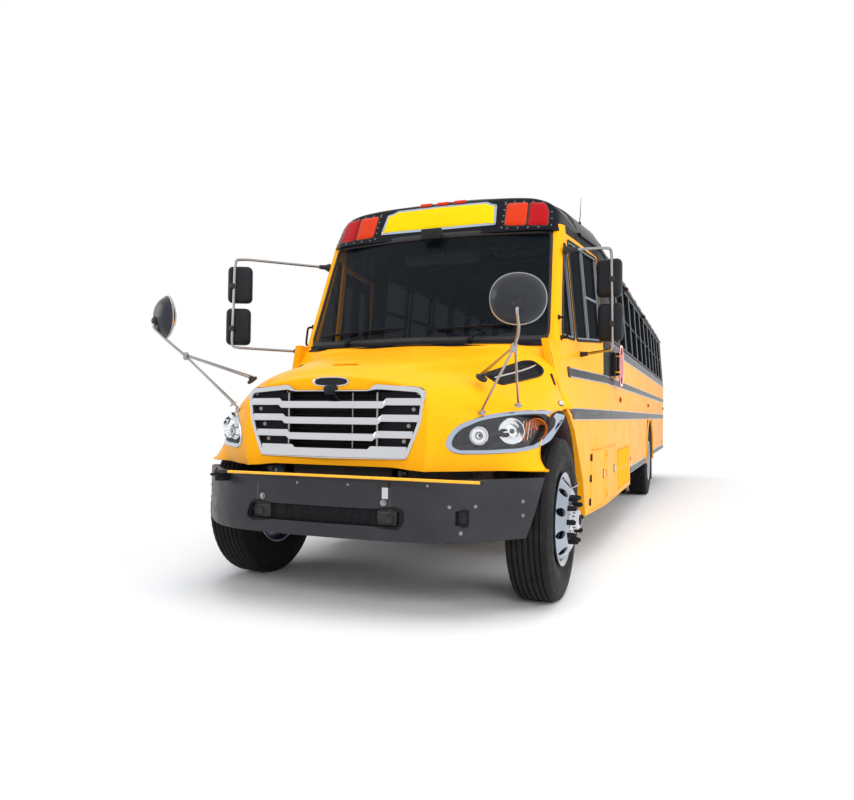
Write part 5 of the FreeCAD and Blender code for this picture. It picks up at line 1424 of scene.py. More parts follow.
def tyre_into(kit, x, y):
    """A ribbed tyre; its grooves waver and its shoulders are notched."""
    steps = 180
    rows = []
    for along, radius in tread_profile(140):
        line = []
        for k in range(steps):
            a = 2 * math.pi * k / steps
            wave = 0.0
            grip = radius
            if radius > 505:
                near = min(abs(abs(along) - g) for g in (84, 52, 18))
                if near < 7:
                    wave = 1.7 if k % 2 else -1.7
                if abs(along) > 100 and k % 3 == 0:
                    grip = radius - 2.5
            line.append((x + along + wave, y + grip * math.cos(a), AXLE_UP + grip * math.sin(a)))
        rows.append(line)
    rows.append(rows[0])
    kit.grid(rows, closed=True)


def round_axle(x, y, radius, count, offset=0.0):
    """Places evenly round a wheel's axle."""
    turns = (2 * math.pi * (i + offset) / count for i in range(count))
    return [(x, y + radius * math.cos(a), AXLE_UP + radius * math.sin(a)) for a in turns]


def hand_hole_cutter(x, y):
    """Ten round tools around an axle that cut a disc's hand holes."""
    tool = Kit()
    for centre in round_axle(x, y, 226, 10, 0.5):
        tool.lathe([(-110, 27), (110, 27)], centre, (1, 0, 0), 26)
    return tool


def hub_fittings(x, y, side, disc, front):
    """Studs with tall black caps, the hub's cap and the valve; disc is the clamping face."""
    kit = Kit()
    out = (side, 0, 0)
    for foot in round_axle(x + side * disc, y, 143, 10):
        kit.lathe([(0, 24), (6, 24), (9, 20), (11, 17.5), (48, 16), (58, 13), (62, 7), (63, 0)],
                  foot, out, 16, 0)
    centre = (x + side * disc, y, AXLE_UP)
    if front:
        kit.lathe([(0, 92), (14, 91), (22, 84), (26, 66), (34, 64), (52, 62), (60, 56), (63, 40),
                   (63, 0)], centre, out, 48, 1)
        kit.lathe([(60, 34), (66, 34), (68, 28), (64, 22), (64, 0)], centre, out, 24, 0)
        for place in round_axle(x + side * (disc + 23), y, 76, 6):
            kit.bolt(place, out, 6, 1)
    else:
        kit.lathe([(0, 96), (60, 92), (96, 84), (104, 76), (108, 60), (112, 0)], centre, out, 48, 2)
        for place in round_axle(x + side * (disc + 106), y, 58, 8, 0.5):
            kit.bolt(place, out, 7, 1)
    kit.tube([(x + side * (disc - 18), y + 150, 715), (x + side * (disc + 2), y + 154, 722),
              (x + side * (disc + 26), y + 158, 740)], 5, 10, 8, 1)
    return kit


FRONT_DISC = [(124, 300), (124, 292), (121, 284), (112, 277), (60, 273), (48, 268), (60, 262),
              (96, 256), (118, 246), (146, 222), (164, 200), (171, 186), (172, 176), (172, 60)]
REAR_DISC = [(124, 300), (124, 292), (121, 284), (112, 276), (20, 273), (-60, 270), (-96, 262),
             (-120, 244), (-140, 216), (-148, 196), (-150, 184), (-150, 60)]


def make_wheel(side, rear):
    """One wheel, or a rear pair: tread, disc, drum and hub."""
    axle = "rear" if rear else "front"
    hand = WORD[side]
    name = f"{axle}_{hand}"
    y = WHEELBASE if rear else 0
    body = f"rear_wheels_{hand}" if rear else f"front_wheel_{hand}"
    centres = [side * 1072, side * 728] if rear else [side * 1070]
    rubber = Kit()
    for x in centres:
        tyre_into(rubber, x, y)
    rubber.done(f"{name}_tread", "tyre", body, "tyre_rubber", 28,
                replaces=(f"rear_tyres_{hand}" if rear else f"front_tyre_{hand}",))
    disc = Kit()
    disc.lathe([(side * along, radius) for along, radius in
                curve_through(REAR_DISC if rear else FRONT_DISC, 4)],
               (centres[0], y, AXLE_UP), steps=90, hollow=True)
    face = disc.done(f"{name}_disc", (), body, "wheel_alloy", 35)
    thicken(face, -0.011 if side > 0 else 0.011)
    carve(face, hand_hole_cutter(centres[0] + side * (-130 if rear else 140), y))
    finished(face, "alloy", 35)
    barrel = Kit()
    inner = (centres[-1], y, AXLE_UP)
    rim = ((-124, 300), (-124, 288), (-112, 280), (-20, 262), (40, 262), (40, 268), (-20, 268),
           (-100, 286), (-112, 290))
    drum = ((-80, 60), (-80, 206), (40, 206), (46, 190), (46, 100), (46, 60))
    for mat, profile, steps in ((0, rim, 72), (1, drum, 56)):
        barrel.lathe([(side * along, radius) for along, radius in profile], inner, steps=steps,
                     mat=mat, hollow=mat == 0)
    barrel.done(f"{name}_drum", ("alloy", "iron"), body, "wheel_alloy", 35,
                replaces=(f"rear_rims_{hand}" if rear else f"front_rim_{hand}",))
    fittings = hub_fittings(centres[0], y, side, -150 if rear else 172, not rear)
    fittings.done(f"{name}_hub", ("satin_black", "chrome", "iron"), body, "wheel_alloy", 40)


make_bumper()
make_guard_arm()
for rear in (False, True):
    for side in (1, -1):
        make_wheel(side, rear)

# ---------------------------------------------------------------- the body's sides

WINDOWS = [2251 + PITCH * i for i in range(11)]


def skin(side, y, z, out):
    """A place on the body's side, at a height off the skin."""
    return (side * (half_width(y, z) + out), y, z)


def skin_frame(kit, side, rings, mat=0, closed=True):
    """A band through outlines in (Y, Z) on the side: (outline, height off the skin) in turn."""
    rows = [[skin(side, y, z, out) for y, z in ring] for ring, out in rings]
    kit.grid(rows + rows[:1] if closed else rows, mat, closed=True)


def window_edge(start, end, low, high, corner=45):
    """A side window's outline (y, z)."""
    return rounded(rect(start, end, low, high), corner, 6)


def split_line(points, longest=90):
    """The same outline with its long runs divided."""
    full = []
    for a, b in zip(points, points[1:] + points[:1]):
        parts = max(1, int((Vector(b) - Vector(a)).length / longest))
        full += [(a[0] + (b[0] - a[0]) * i / parts, a[1] + (b[1] - a[1]) * i / parts)
                 for i in range(parts)]
    return full


def side_window(kit, side, start):
    """A split-sash window: black surround, aluminium frame, the two sashes and their latches."""
    end = start + 640
    inner = window_edge(start + 8, end - 8, 1943, 2632, 40)
    surround = rounded(rect(start - 32, end + 32, 1893, 2700), 3, 6)
    skin_frame(kit, side, [(surround, -2), (surround, 4), (grown(inner, 14), 4),
                           (grown(inner, 14), -6)], 0)
    skin_frame(kit, side, [(grown(inner, 14), 2), (grown(inner, 13), 7), (grown(inner, 9), 7),
                           (grown(inner, 8), 2)], 1)
    skin_frame(kit, side, rect(grown(inner, 9), inner, 3, -26), 0)
    for low, high, depth in ((2276, 2300, -4), (2296, 2316, -14)):
        kit.wall(rect(start + 8, end - 8, low, high), depth - 10, depth, side, 1.5, 0)
    for spot in (start + 26, end - 26):
        kit.wall(rect(spot - 7, spot + 7, 2300, 2630), -24, -12, side, 1, 0)
    for spot in (start + 150, end - 150):
        kit.wall(rect(spot - 22, spot + 22, 2304, 2318), -16, -1, side, 2, 0)


def rail_profile(low, high):
    """Heights and distances off the skin across a pressed rub rail."""
    tall = high - low
    ridge = 0.2 * tall
    line = [(low, 0), (low + 1, 5), (low + 4, 8), (low + 9, 8), (low + 12, 4)]
    for i in range(1, 4):
        middle = low + 12 + (tall - 24) * i / 4
        line += [(middle - 0.22 * ridge - 4, 3.5), (middle - 3, 7), (middle + 3, 7),
                 (middle + 0.22 * ridge + 4, 3.5)]
    return line + [(high - 12, 4), (high - 9, 8), (high - 4, 8), (high - 1, 5), (high, 0)]


def rub_rail(kit, side, low, high, start, end, lean=0):
    """A rail along the side with closed ends and two bright edges: satin chrome strips painted on
    its top and bottom lips as highlights where the black rail catches the light; lean slants its
    front end.
    """
    line = rail_profile(low, high)
    stops = [start] + [y for y in (1900, 4000, 6000, 8000) if start < y < end] + [end]
    rows = []
    for n, stop in enumerate(stops):
        for near in ((0,) if 0 < n < len(stops) - 1 else (0, 1)):
            row = []
            for z, out in line:
                y = stop + (lean * (z - low) / (high - low) if n == 0 else 0)
                if n == 0:
                    y += 6 * near
                    out = out if near else 0
                elif n == len(stops) - 1:
                    y -= 6 * (1 - near)
                    out = 0 if near else out
                row.append(skin(side, y, z, out))
            rows.append(row)
    part = Kit()
    part.grid(rows, 0)
    # Painted highlight: the top and bottom lips get satin chrome in place of the light they catch.
    edges = (low + 9, high - 9)
    for face in part.mesh.faces:
        z = face.calc_center_median().z
        if z < edges[0] or z > edges[1]:
            face.material_index = 1
    part.take_into(kit)


def make_windows(side):
    """The side windows' frames on one side, and the dark band around them."""
    kit = Kit()
    for start in WINDOWS:
        side_window(kit, side, start)
    kit.done(f"side_window_frames_{WORD[side]}", ("satin_black", "aluminium"), "body",
             "black_paint", 35)
    band = Kit()
    pillar = rect(1796, 2216, 1522, 2700) if side > 0 else rect(1960, 2216, 1893, 2700)
    band.wall(pillar, -2, 3.5, side, 1)
    head = 2612 if side > 0 else 2520
    band.wall([(985, 2646), (1792, head), (1792, 2700), (985, 2700)] if side > 0 else
              [(1090, 2646), (1110, head), (1956, head), (1956, 2700), (1090, 2700)],
              -2, 3.5, side, 1)
    band.wall(rect(WINDOWS[-1] + 674, 10446, 1893, 2700), -2, 3.5, side, 1)
    for y in (1810, 2202) if side > 0 else (1974, 2202):
        for z in range(1950, 2700, 90):
            band.bolt(skin(side, y, z, 3.5), (side, 0, 0.05), 3.5)
    band.done(f"window_band_{WORD[side]}", "satin_black", "body", "black_paint", 35)


def make_rails(side):
    """The rub rails along one side, with their bolts."""
    kit = Kit()
    first = 2310 if side > 0 else 1905
    rub_rail(kit, side, 1795, 1891, first, 10448)
    rub_rail(kit, side, 1484, 1562, 705 if side > 0 else 1905, 10448)
    rub_rail(kit, side, 1162, 1255, 470 if side > 0 else 1905, 10448, -95 if side > 0 else 0)
    rub_rail(kit, side, 537, 619, 4014, 6322)
    rub_rail(kit, side, 582, 664, 7560, 10448)
    if side < 0:
        rub_rail(kit, side, 1162, 1255, 470, 1100, -95)
        rub_rail(kit, side, 1484, 1562, 705, 1100)
    for low, high in ((1795, 1891), (1484, 1562), (1162, 1255)):
        middle = (low + high) / 2
        for y in range(2400, 10400, PITCH):
            kit.bolt(skin(side, y, middle, 5), (side, 0, 0), 4, 0)
    for z in (1484, 1162):
        for y in range(760, 1080 if side < 0 else 1780, 110):
            kit.bolt(skin(side, y, z + 39, 5.5), (side, 0, 0), 4, 2)
    kit.wall(rounded(rect(672, 722, 1482, 1564), [24, 2, 2, 24], 6), -2, 9, side, 3, 0)
    kit.done(f"rub_rails_{WORD[side]}", ("rail", "satin_chrome", "steel"), "body", "black_paint",
             30)


def cab_window(kit, side, outline):
    """A window of the cab: its rubber surround and its bright bead."""
    line = split_line(rounded(outline, 26, 5))
    skin_frame(kit, side, [(grown(line, 20), -2), (grown(line, 19), 5), (grown(line, 4), 6),
                           (line, 2), (line, -24), (grown(line, 14), -24)])
    skin_frame(kit, side, [(line, -2), (grown(line, -2), 2), (grown(line, -12), 2),
                           (grown(line, -13), -18), (line, -18)], 1)


def make_cab_side(side):
    """The cab's windows on one side, and the grip in front of them."""
    kit = Kit()
    if side > 0:
        cab_window(kit, side, [(654, 1798), (942, 1798), (942, 2532), (908, 2532)])
        cab_window(kit, side, [(1008, 1800), (1752, 1858), (1752, 2582), (1008, 2582)])
        for y in (1350, 1390):
            kit.wall(rect(y, y + 14, 1812, 2580), -22, -8, side, 1, 1)
        kit.wall(rect(1400, 1740, 2186, 2206), -20, -10, side, 1, 1)
    else:
        cab_window(kit, side, [(654, 1798), (1042, 1798), (1042, 2532), (908, 2532)])
    grip = [skin(side, 606, z, out) for z, out in ((1770, -2), (1772, 44), (1790, 52), (1905, 52),
                                                  (1922, 44), (1924, -2))]
    kit.tube(bent(grip, 20), 9, mat=0, sides=12)
    for z in (1770, 1924):
        kit.lathe([(-2, 20), (6, 20), (9, 15)], skin(side, 606, z, 0), (side, 0, 0), 20, 0)
    kit.done(f"cab_window_frames_{WORD[side]}", ("satin_black", "aluminium"), "body", "black_paint",
             35)


def make_stop_arm():
    """The stop arm's blank eight-sided sign, and its motor."""
    y0, z0, x0 = 2490, 1686, 1276

    def octagon(size):
        corner = size * math.tan(math.pi / 8)
        ring = [(size, corner), (corner, size), (-corner, size), (-size, corner),
                (-size, -corner), (-corner, -size), (corner, -size), (size, -corner)]
        return rounded([(y0 + a, z0 + b) for a, b in ring], 8, 3)

    kit = Kit()
    kit.plate("YZ", octagon(200), x0, x0 + 11, 2, 0)
    for out, depth in ((x0 + 10, 1.6), (x0 + 1, -1.6)):
        kit.frame("YZ", [(octagon(197), out), (octagon(197), out + depth),
                         (octagon(178), out + depth), (octagon(178), out)], 1)
    for z in (z0 + 142, z0 - 142):
        for start, sign in ((x0 + 10, 1), (x0 + 1, -1)):
            kit.lathe([(0, 34), (3, 34), (4, 30), (3, 27)], (start, y0, z), (sign, 0, 0), 28, 3)
            kit.lathe([(2, 27), (6, 25), (8.5, 18), (10, 8), (10.2, 0)], (start, y0, z),
                      (sign, 0, 0), 28, 2)
    for dz in (-45, 45):
        kit.plate("YZ", rounded(rect(2245, 2330, z0 + dz - 14, z0 + dz + 14), 4, 2), x0 - 1, x0
                  + 13, 2, 3)
        for y in (2300, 2320):
            kit.bolt((x0 + 13, y, z0 + dz), (1, 0, 0), 4, 4)
    kit.lathe([(-69, 12), (-67, 14), (67, 14), (69, 12)], (1281, 2245, z0), (0, 0, 1), 28, 3)
    kit.done("stop_arm_sign", ("sign_red", "sign_white", "red", "satin_black", "steel"),
             "stop_sign_arm", "sign_red", 35, replaces=("stop_arm",))
    base = Kit()
    base.plate("YZ", rounded(rect(2196, 2294, 1574, 1798), 14, 4), 1216, 1261, 7, 0)
    for z in (1592, 1780):
        base.plate("XY", rounded(rect(1240, 1297, 2226, 2264), 12, 4), z - 14, z + 12, 2, 0)
        base.lathe([(0, 11), (3, 10), (5, 4)], (1281, 2245, z + 10 if z > 1700 else z - 12),
                   (0, 0, 1 if z > 1700 else -1), 16, 1)
    for y, z in ((2210, 1590), (2280, 1590), (2210, 1782), (2280, 1782)):
        base.bolt((1260, y, z), (1, 0, 0), 4, 1)
    base.done("stop_arm_motor", ("satin_black", "steel"), "body", "black_paint", 35)


def make_lockers():
    """The two lower doors behind the driver, and their frames."""
    for name, start, end, body in (("battery", 1240, 1841, "battery_locker_door"),
                                   ("locker", 1955, 2552, "side_locker_door")):
        kit = Kit()
        low, high = 428, 915
        edge = rounded(rect(start + 0.5, end, low, high), 10, 4)
        kit.wall(edge, -20, 0, 1, 2, 0)
        for y in (start + 16, end - 16):
            kit.wall(rect(y - 3, y + 3, low + 16, high - 16), -0.5, 1.6, 1, 1, 0)
        for z in (low + 16, high - 16):
            kit.wall(rect(start + 16, end - 16, z - 3, z + 3), -0.5, 1.6, 1, 1, 0)
        latch_y, latch_z = end - 62, 691
        kit.wall(rounded(rect(latch_y - 26, latch_y + 26, latch_z - 40, latch_z + 40), 10, 4), -1,
                 4, 1, 1.5, 1)
        kit.wall(rounded(rect(latch_y - 18, latch_y + 18, latch_z - 30, latch_z + 30), 8, 4), 3, 8,
                 1, 2, 2)
        kit.done(f"{name}_door_leaf", ("yellow", "satin_black", "chrome"), body, "yellow_paint", 35,
                 replaces=(f"{name}_door",))
        fixed = Kit()
        for z in (500, 690, 860):
            fixed.lathe([(-30, 7), (30, 7)], skin(1, start - 8, z, 3), (0, 0, 1), 14,
                        1 if name == "battery" else 0)
            fixed.wall(rect(start - 52, start - 12, z - 26, z + 26), -1, 3, 1, 1, 1
                       if name == "battery" else 0)
            for dz in (-14, 14):
                fixed.bolt(skin(1, start - 34, z + dz, 3), (1, 0, 0), 4, 1)
        seam = rounded(rect(start - 5, end + 5, low - 5, high + 5), 12, 4)
        skin_frame(fixed, 1, [(grown(seam, 4), -1), (grown(seam, 3), 1.2), (seam, 1.2),
                              (seam, -14)], 0)
        fixed.wall(rect(start - 4, end + 8, 922, 934), -1, 7, 1, 2, 0)
        fixed.done(f"{name}_door_frame", ("yellow", "satin_black"), "body", "yellow_paint", 35)


def make_vent():
    """The louvred panel beside the lockers."""
    kit = Kit()
    frame_line = rect(2776, 3854, 462, 858)
    skin_frame(kit, 1, [(grown(frame_line, 10), -1), (grown(frame_line, 10), 3), (frame_line, 3),
                        (frame_line, -11)], 0)
    for i in range(36):
        start = 2776 + 30 * i
        lean = 200 / 396
        for low, high in ((470, 655), (668, 850)):
            y0, y1 = (min(start + (z - 462) * lean * 0.35, 3832) for z in (low, high))
            kit.grid([[skin(1, y + step, z, out) for step, out in
                       ((0, -11), (4, -1), (12, 2), (17, -3), (19, -11))]
                      for y, z in ((y0, low), (y1, high))])
    kit.wall(rect(2776, 3854, 656, 667), -11, 2.5, 1, 1, 0)
    kit.done("vent_louvres", "yellow", "body", "yellow_paint", 35)


def make_side_lamps(side):
    """The lamps and reflectors along one side."""
    kit = Kit()
    for y in (3824, 6226):
        base = Vector(skin(side, y, 2660, 0))
        for out, half, long, low, high, soft, mat in (
                (8, 14, 58, -22, 26, 8, 0), (30, 24, 50, -12, 22, 10, 0),
                (56, 6, 42, -8, 14, 4, 1)):
            kit.box(base + Vector((side * out - half, -long, low)),
                    base + Vector((side * out + half, long, high)), soft, mat)
    for y, lens in ((2960, 1), (10360, 2), (6600, 1)):
        place = skin(side, y, 1368, 0)
        kit.lathe([(-1, 32), (5, 31), (7, 26)], place, (side, 0, 0), 24, 0)
        kit.lathe([(5, 26), (13, 26 * 0.9), (18, 13), (19, 0)], place, (side, 0, 0), 24, lens)
    for y, z in ((4060, 700), (9900, 720)):
        edge = rounded(rect(y - 50, y + 50, z - 22, z + 22), 8, 3)
        kit.wall(edge, -1, 6, side, 2, 1 if y < 5000 else 2)
    kit.done(f"side_lamps_{WORD[side]}", ("satin_black", "amber", "red"), "body", "lamp_lens", 35)


def make_panel_seams(side):
    """Lap seams on the side's sheets."""
    kit = Kit()
    for y in [2218 + 1412 * i for i in range(6)]:
        for low, high in ((1262, 1478), (1568, 1788)):
            kit.wall(rect(y - 15, y + 15, low, high), -1, 1.4, side, 0.6, 0)
    if side > 0:
        kit.wall(rect(326, 333, 1372, 1640), -1, 1.2, side, 0.4, 1)
        kit.wall(rounded(rect(1898, 1906, 935, 1480), 1, 2), -1, 1.2, side, 0.4, 0)
    kit.done(f"panel_seams_{WORD[side]}", ("yellow", "satin_black"), "body", "yellow_paint", 35)


for hand in (1, -1):
    make_windows(hand)
    make_rails(hand)
    make_cab_side(hand)
    make_side_lamps(hand)
    make_panel_seams(hand)
make_stop_arm()
make_lockers()
make_vent()

# ---------------------------------------------------------------- mirrors and the aerial

def facing(direction):
    """The turn that carries +X to a direction, keeping +Z up."""
    ahead = Vector(direction).normalized()
    across = Vector((0, 0, 1)).cross(ahead).normalized()
    return Matrix((ahead, across, ahead.cross(across))).transposed()


def dish_head(kit, centre, direction, wide, high):
    """An oval mirror head: a domed glossy back, a bright rim and the bulging glass."""
    turn = facing(direction)

    def ring(share, depth, grow=0):
        return [Vector(centre) + turn @ Vector((depth, a, b))
                for a, b in oval(wide * share + grow, high * share + grow, steps=48, power=2.15)]

    back = [(0.05, -70), (0.2, -69), (0.4, -64), (0.6, -54), (0.78, -39), (0.9, -23), (0.97, -9),
            (1, 0)]
    kit.grid([ring(share, depth) for share, depth in back], 1, closed=True, caps=True)
    kit.grid([ring(1, -3), ring(1, -2, 4), ring(1, 5, 6), ring(1, 9, 3), ring(1, 9, -5)], 0,
             closed=True)
    glass = [(0.98, 7), (0.9, 19), (0.75, 33), (0.55, 43), (0.3, 50), (0.05, 52)]
    kit.grid([ring(share, depth) for share, depth in glass], 2, closed=True, caps=True)
    return turn


def foot_on(kit, place, normal, size=1.0):
    """A cast foot with two ears and its bolt."""
    place = Vector(place)
    normal = Vector(normal).normalized()
    kit.lathe([(-4, 17 * size), (4, 17 * size), (8, 14 * size), (16, 9 * size), (22, 9 * size),
               (24, 6 * size)], place, normal, 18, 0)
    side = normal.orthogonal().normalized()
    for sign in (1, -1):
        kit.lathe([(0, 8 * size), (5, 8 * size), (7, 5 * size)], place + side * sign * 20 * size,
                  normal, 12, 0)


def make_hood_mirrors(side):
    """One crossover mirror on its legs."""
    kit = Kit()

    def p(x, y, z):
        return Vector((side * x, y, z))

    joint = p(1097, -903, 1558)
    aim_at = (-0.24, 0.95, 0.1) if side > 0 else (0.52, 0.84, 0.02)
    centre = p(1151, -1034, 1799)
    turn = dish_head(kit, centre, aim_at, 145, 131)
    knob = centre + turn @ Vector((-66, 0, -30))
    kit.tube([p(850, -677, 1226), joint], 7.5, sides=14)
    kit.tube([p(1019, -500, 1268), joint + p(6, 4, 0)], 7.5, sides=14)
    kit.tube([p(826, -590, 1432), joint + Vector((0, -8, 4))], 6, sides=12)
    kit.tube([p(806, -566, 1438), joint + Vector((0, 8, 8))], 6, sides=12)
    kit.tube(bent([joint, p(1150, -1000, 1640), knob + Vector((0, -20, -40)), knob], 60), 9,
             sides=16)
    kit.lathe([(-22, 15), (-18, 19), (18, 19), (22, 15)], joint, (0.3, -0.5, 0.8), 20, 0)
    kit.lathe([(-10, 11), (14, 11), (16, 8)], joint + Vector((0, 0, -14)), (0.8, 0.5, 0.2), 14, 0)
    kit.dome(knob, (17, 17, 17), 0)
    kit.lathe([(0, 30), (4, 30), (12, 22), (18, 14)], centre + turn @ Vector((-69, 0, -30)),
              turn @ Vector((-1, 0, 0)), 24, 3)
    foot_on(kit, p(850, -677, 1206), (side * 0.35, -0.55, 0.76))
    foot_on(kit, p(1019, -500, 1250), (side * 0.45, -0.35, 0.82))
    kit.lathe([(-6, 34), (4, 38), (10, 36), (14, 22), (24, 14), (34, 12)], p(812, -572, 1412),
              (side * 0.55, -0.25, 0.8), 28, 3)
    kit.done(f"crossover_mirror_{WORD[side]}", ("arm_chrome", "mirror_back", "mirror_glass",
                                                "rubber"), "nose", "chrome", 40,
             replaces=("hood_mirrors",) if side > 0 else ())


def shell_head(kit, centre, turn_deg, wide, deep, high):
    """A black moulded mirror head with its glass set in the rear."""
    turn = Matrix.Rotation(math.radians(turn_deg), 3, "Z")
    steps = ((-1, 0.45), (-0.94, 0.68), (-0.8, 0.84), (-0.5, 0.94), (-0.1, 0.99), (0.3, 1.0),
             (0.85, 0.985), (1.0, 0.95))

    def ring(share, depth):
        line = rounded(rect(-wide * share, wide * share, -high * share, high * share), 46 * share,
                       7)
        return [Vector(centre) + turn @ Vector((a, depth, b)) for a, b in line]

    kit.grid([ring(share, deep * along) for along, share in steps]
             + [ring(0.88, deep), ring(0.86, deep - 8)], 1, closed=True, caps=True)
    kit.grid([ring(0.86, deep - 7), ring(0.8, deep - 4), ring(0.4, deep - 1), ring(0.03, deep)], 2,
             closed=True)


def make_side_mirrors():
    """The main mirrors on their arms."""
    kit = Kit()
    arms = ((1, [(1040, 846, 2475), (1120, 862, 2478), (1330, 938, 2490), (1372, 952, 2486),
                 (1378, 960, 2440), (1385, 970, 1760), (1384, 972, 1712), (1340, 990, 1702),
                 (1180, 1062, 1688), (1096, 1098, 1684)], ((1352, 1016, 2270), (1360, 1024, 1925))),
            (-1, [(-1030, 846, 2475), (-1090, 760, 2472), (-1420, 190, 2440), (-1462, 104, 2424),
                  (-1468, 98, 2380), (-1488, 100, 1770), (-1488, 104, 1724), (-1450, 130, 1716),
                  (-1120, 410, 1706), (-1040, 482, 1703)], ((-1462, 158, 2230),
                                                            (-1474, 158, 1890))),)
    for side, line, heads in arms:
        kit.tube(line, 11, 34, 16, 0)
        for end, near in ((line[0], line[1]), (line[-1], line[-2])):
            along = (Vector(near) - Vector(end)).normalized()
            kit.lathe([(-6, 34), (6, 36), (16, 30), (40, 21), (92, 17), (98, 13)], end, along, 28,
                      3)
            for k in range(4):
                spin = Matrix.Rotation(math.pi / 2 * k + 0.6, 3, along)
                off = spin @ along.orthogonal().normalized() * 27
                kit.bolt(Vector(end) + off + along * 14, along, 4, 4)
        for centre in heads:
            shell_head(kit, centre, -8 if side > 0 else 24, 97, 40, 150)
            pole = Vector((line[5][0] - side * 3, line[5][1] - 4, centre[2]))
            kit.box(pole + Vector((-21, -20, -42)), pole + Vector((21, 36, 2)), 7, 3)
            kit.bolt(pole + Vector((0, -19, -20)), (0, -1, 0), 5, 3)
    kit.done("main_mirrors", ("arm_chrome", "plastic", "mirror_glass", "rubber", "satin_black"),
             "body", "chrome", 40, replaces=("side_mirrors",))


def make_aerial():
    """The aerial."""
    kit = Kit()
    foot = Vector((1020, 1560, 2842))
    kit.lathe([(-12, 24), (4, 24), (14, 17), (34, 10), (40, 7)], foot, (0.45, 0, 0.9), 24, 0)
    kit.tube([foot + Vector((10, 0, 30)), foot + Vector((16, 10, 120)),
              foot + Vector((18, 24, 250))], [4, 3, 1.6], sides=8, mat=1)
    kit.done("aerial", ("plastic", "satin_black"), "body", "black_paint")


for side in (1, -1):
    make_hood_mirrors(side)
make_side_mirrors()
make_aerial()

# ---------------------------------------------------------------- the cab's front corners

def lerp(a, b, share):
    """The place a share of the way from a to b."""
    return tuple(p + (q - p) * share for p, q in zip(a, b))


def on_hood(place):
    """The point of the hood's skin at its rear edge that lies behind a place, and just inside."""
    middle = at(0, 292, 1150)
    ray = at(place[0], 292, place[2]) - middle
    ray.normalize()
    hit = skin_tree.ray_cast(middle + ray * 1.7, -ray)[0]
    if hit is None:
        return place
    hit -= ray * 0.004
    return (hit.x * 1000, 306, hit.z * 1000)


def make_cab_front():
    """The cab's corners, its bulkhead and the grille below the windscreen."""
    kit = Kit()
    for side in (1, -1):
        rows = []
        for i in range(26):
            z = 1722 + (2698 - 1722) * i / 25
            up = (z - 1740) / 960
            turn_y = 510 + 395 * up
            inner = screen_place(0.94, z, 3)
            start = screen_place(0.955, z, 1)
            end = skin(1, turn_y + 48, z, 1.6)
            knee = (end[0] + 3 - 0.016 * (z - 1722), turn_y - 8, z)
            line = [screen_place(0.935, z, 40), inner]
            for k in range(9):
                t = k / 8
                line.append(tuple(a * (1 - t) ** 2 + 2 * b * t * (1 - t) + c * t * t
                                  for a, b, c in zip(start, knee, end)))
            line.append(skin(1, turn_y + 70, z, 1.6))
            line.append(skin(1, turn_y + 71, z, -3))
            rows.append([(side * x, y, z) for x, y, z in line])
        kit.grid(rows)
        hood_edge = [(0, 306, 1686), (450, 306, 1668), (760, 306, 1638), (880, 306, 1604),
                     (952, 306, 1560), (1004, 306, 1500), (1030, 306, 1420), (1068, 306, 1340),
                     (1130, 306, 1284), (1182, 306, 1246)]
        screen_edge = [screen_point(0, 1732, 4), screen_point(450, 1732, 4),
                       screen_point(760, 1732, 4), screen_point(920, 1732, 4),
                       (1010, 478, 1734), (1052, 545, 1726), skin(1, 520, 1640, 2.5),
                       skin(1, 452, 1500, 2.5), skin(1, 416, 1370, 2.5), skin(1, 400, 1250, 2.5)]
        start = [on_hood(place) for place in curve_through(hood_edge, 6)]
        end = curve_through(screen_edge, 6)
        rows = []
        for t in (0, 0.04, 0.2, 0.4, 0.6, 0.8, 0.96, 1):
            swell = math.sin(math.pi * t)
            line = []
            for n, (a, b) in enumerate(zip(start, end)):
                share = n / (len(start) - 1)
                x, y, z = lerp(a, b, t)
                z += (10 if t else -8) * swell * (1 - share) - (6 if t == 0 else 0)
                x += 10 * swell * share - (8 if t == 0 else 0)
                line.append((side * x, y, z))
            rows.append(line)
        kit.grid(rows)
    piece = kit.done("cab_corners", (), "body", "yellow_paint", 60, replaces=("cab_front",))
    thicken(piece, 0.006)
    finished(piece, "yellow", 60)
    wall_kit = Kit()
    outline = [(-1080, 905), (1080, 905), (1130, 1210), (1040, 1480), (1000, 1728), (-1000, 1728),
               (-1040, 1480), (-1130, 1210)]
    wall_kit.plate("XZ", outline, 602, 638, 3, 0)
    for x in range(-900, 901, 225):
        wall_kit.box((x - 8, 592, 960), (x + 8, 604, 1640), 3, 0)
    for x, z, size in ((-520, 1350, 46), (420, 1300, 38), (700, 1180, 30), (-760, 1250, 34)):
        wall_kit.lathe([(0, size), (-8, size * 0.95), (-14, size * 0.6), (-30, size * 0.4)],
                       (x, 600, z), (0, 1, 0), 20, 1)
    wall_kit.done("bulkhead", ("satin_black", "rubber"), "body", "yellow_paint")
    cowl = Kit()
    rows = []
    for y0, z in ((-18, 1748), (-30, 1722), (-70, 1700)):
        rows.append([(x, screen_point(x, 1740, 0)[1] + y0, z) for x in range(-980, 981, 70)])
    cowl.grid(rows)
    for x in range(-880, 881, 16):
        y = screen_point(x, 1740, 0)[1] - 44
        cowl.box((x - 3, y - 16, 1712), (x + 3, y + 14, 1724), 1)
    cowl.done("cowl_grille", "satin_black", "body", "black_paint")


# ---------------------------------------------------------------- entrance door

def door_x(y, z):
    """Half width of a leaf's straight outer face."""
    low, high = half_width(y, 430), half_width(y, 2492)
    return low + (high - low) * (z - 430) / 2062


def leaf_bar(kit, y0, y1, z0, z1, near=0, far=34, mat=0, soft=2):
    """A bar of the leaf, between two distances behind its outer face."""
    rows = []
    outline = rounded(rect(y0, y1, z0, z1), soft, 2)
    for depth, inset in ((far, 0), (near + soft, 0), (near, -soft)):
        rows.append([(-door_x(y, z) + depth, y, z) for y, z in grown(outline, inset)])
    kit.grid(rows, mat, closed=True, caps=True)


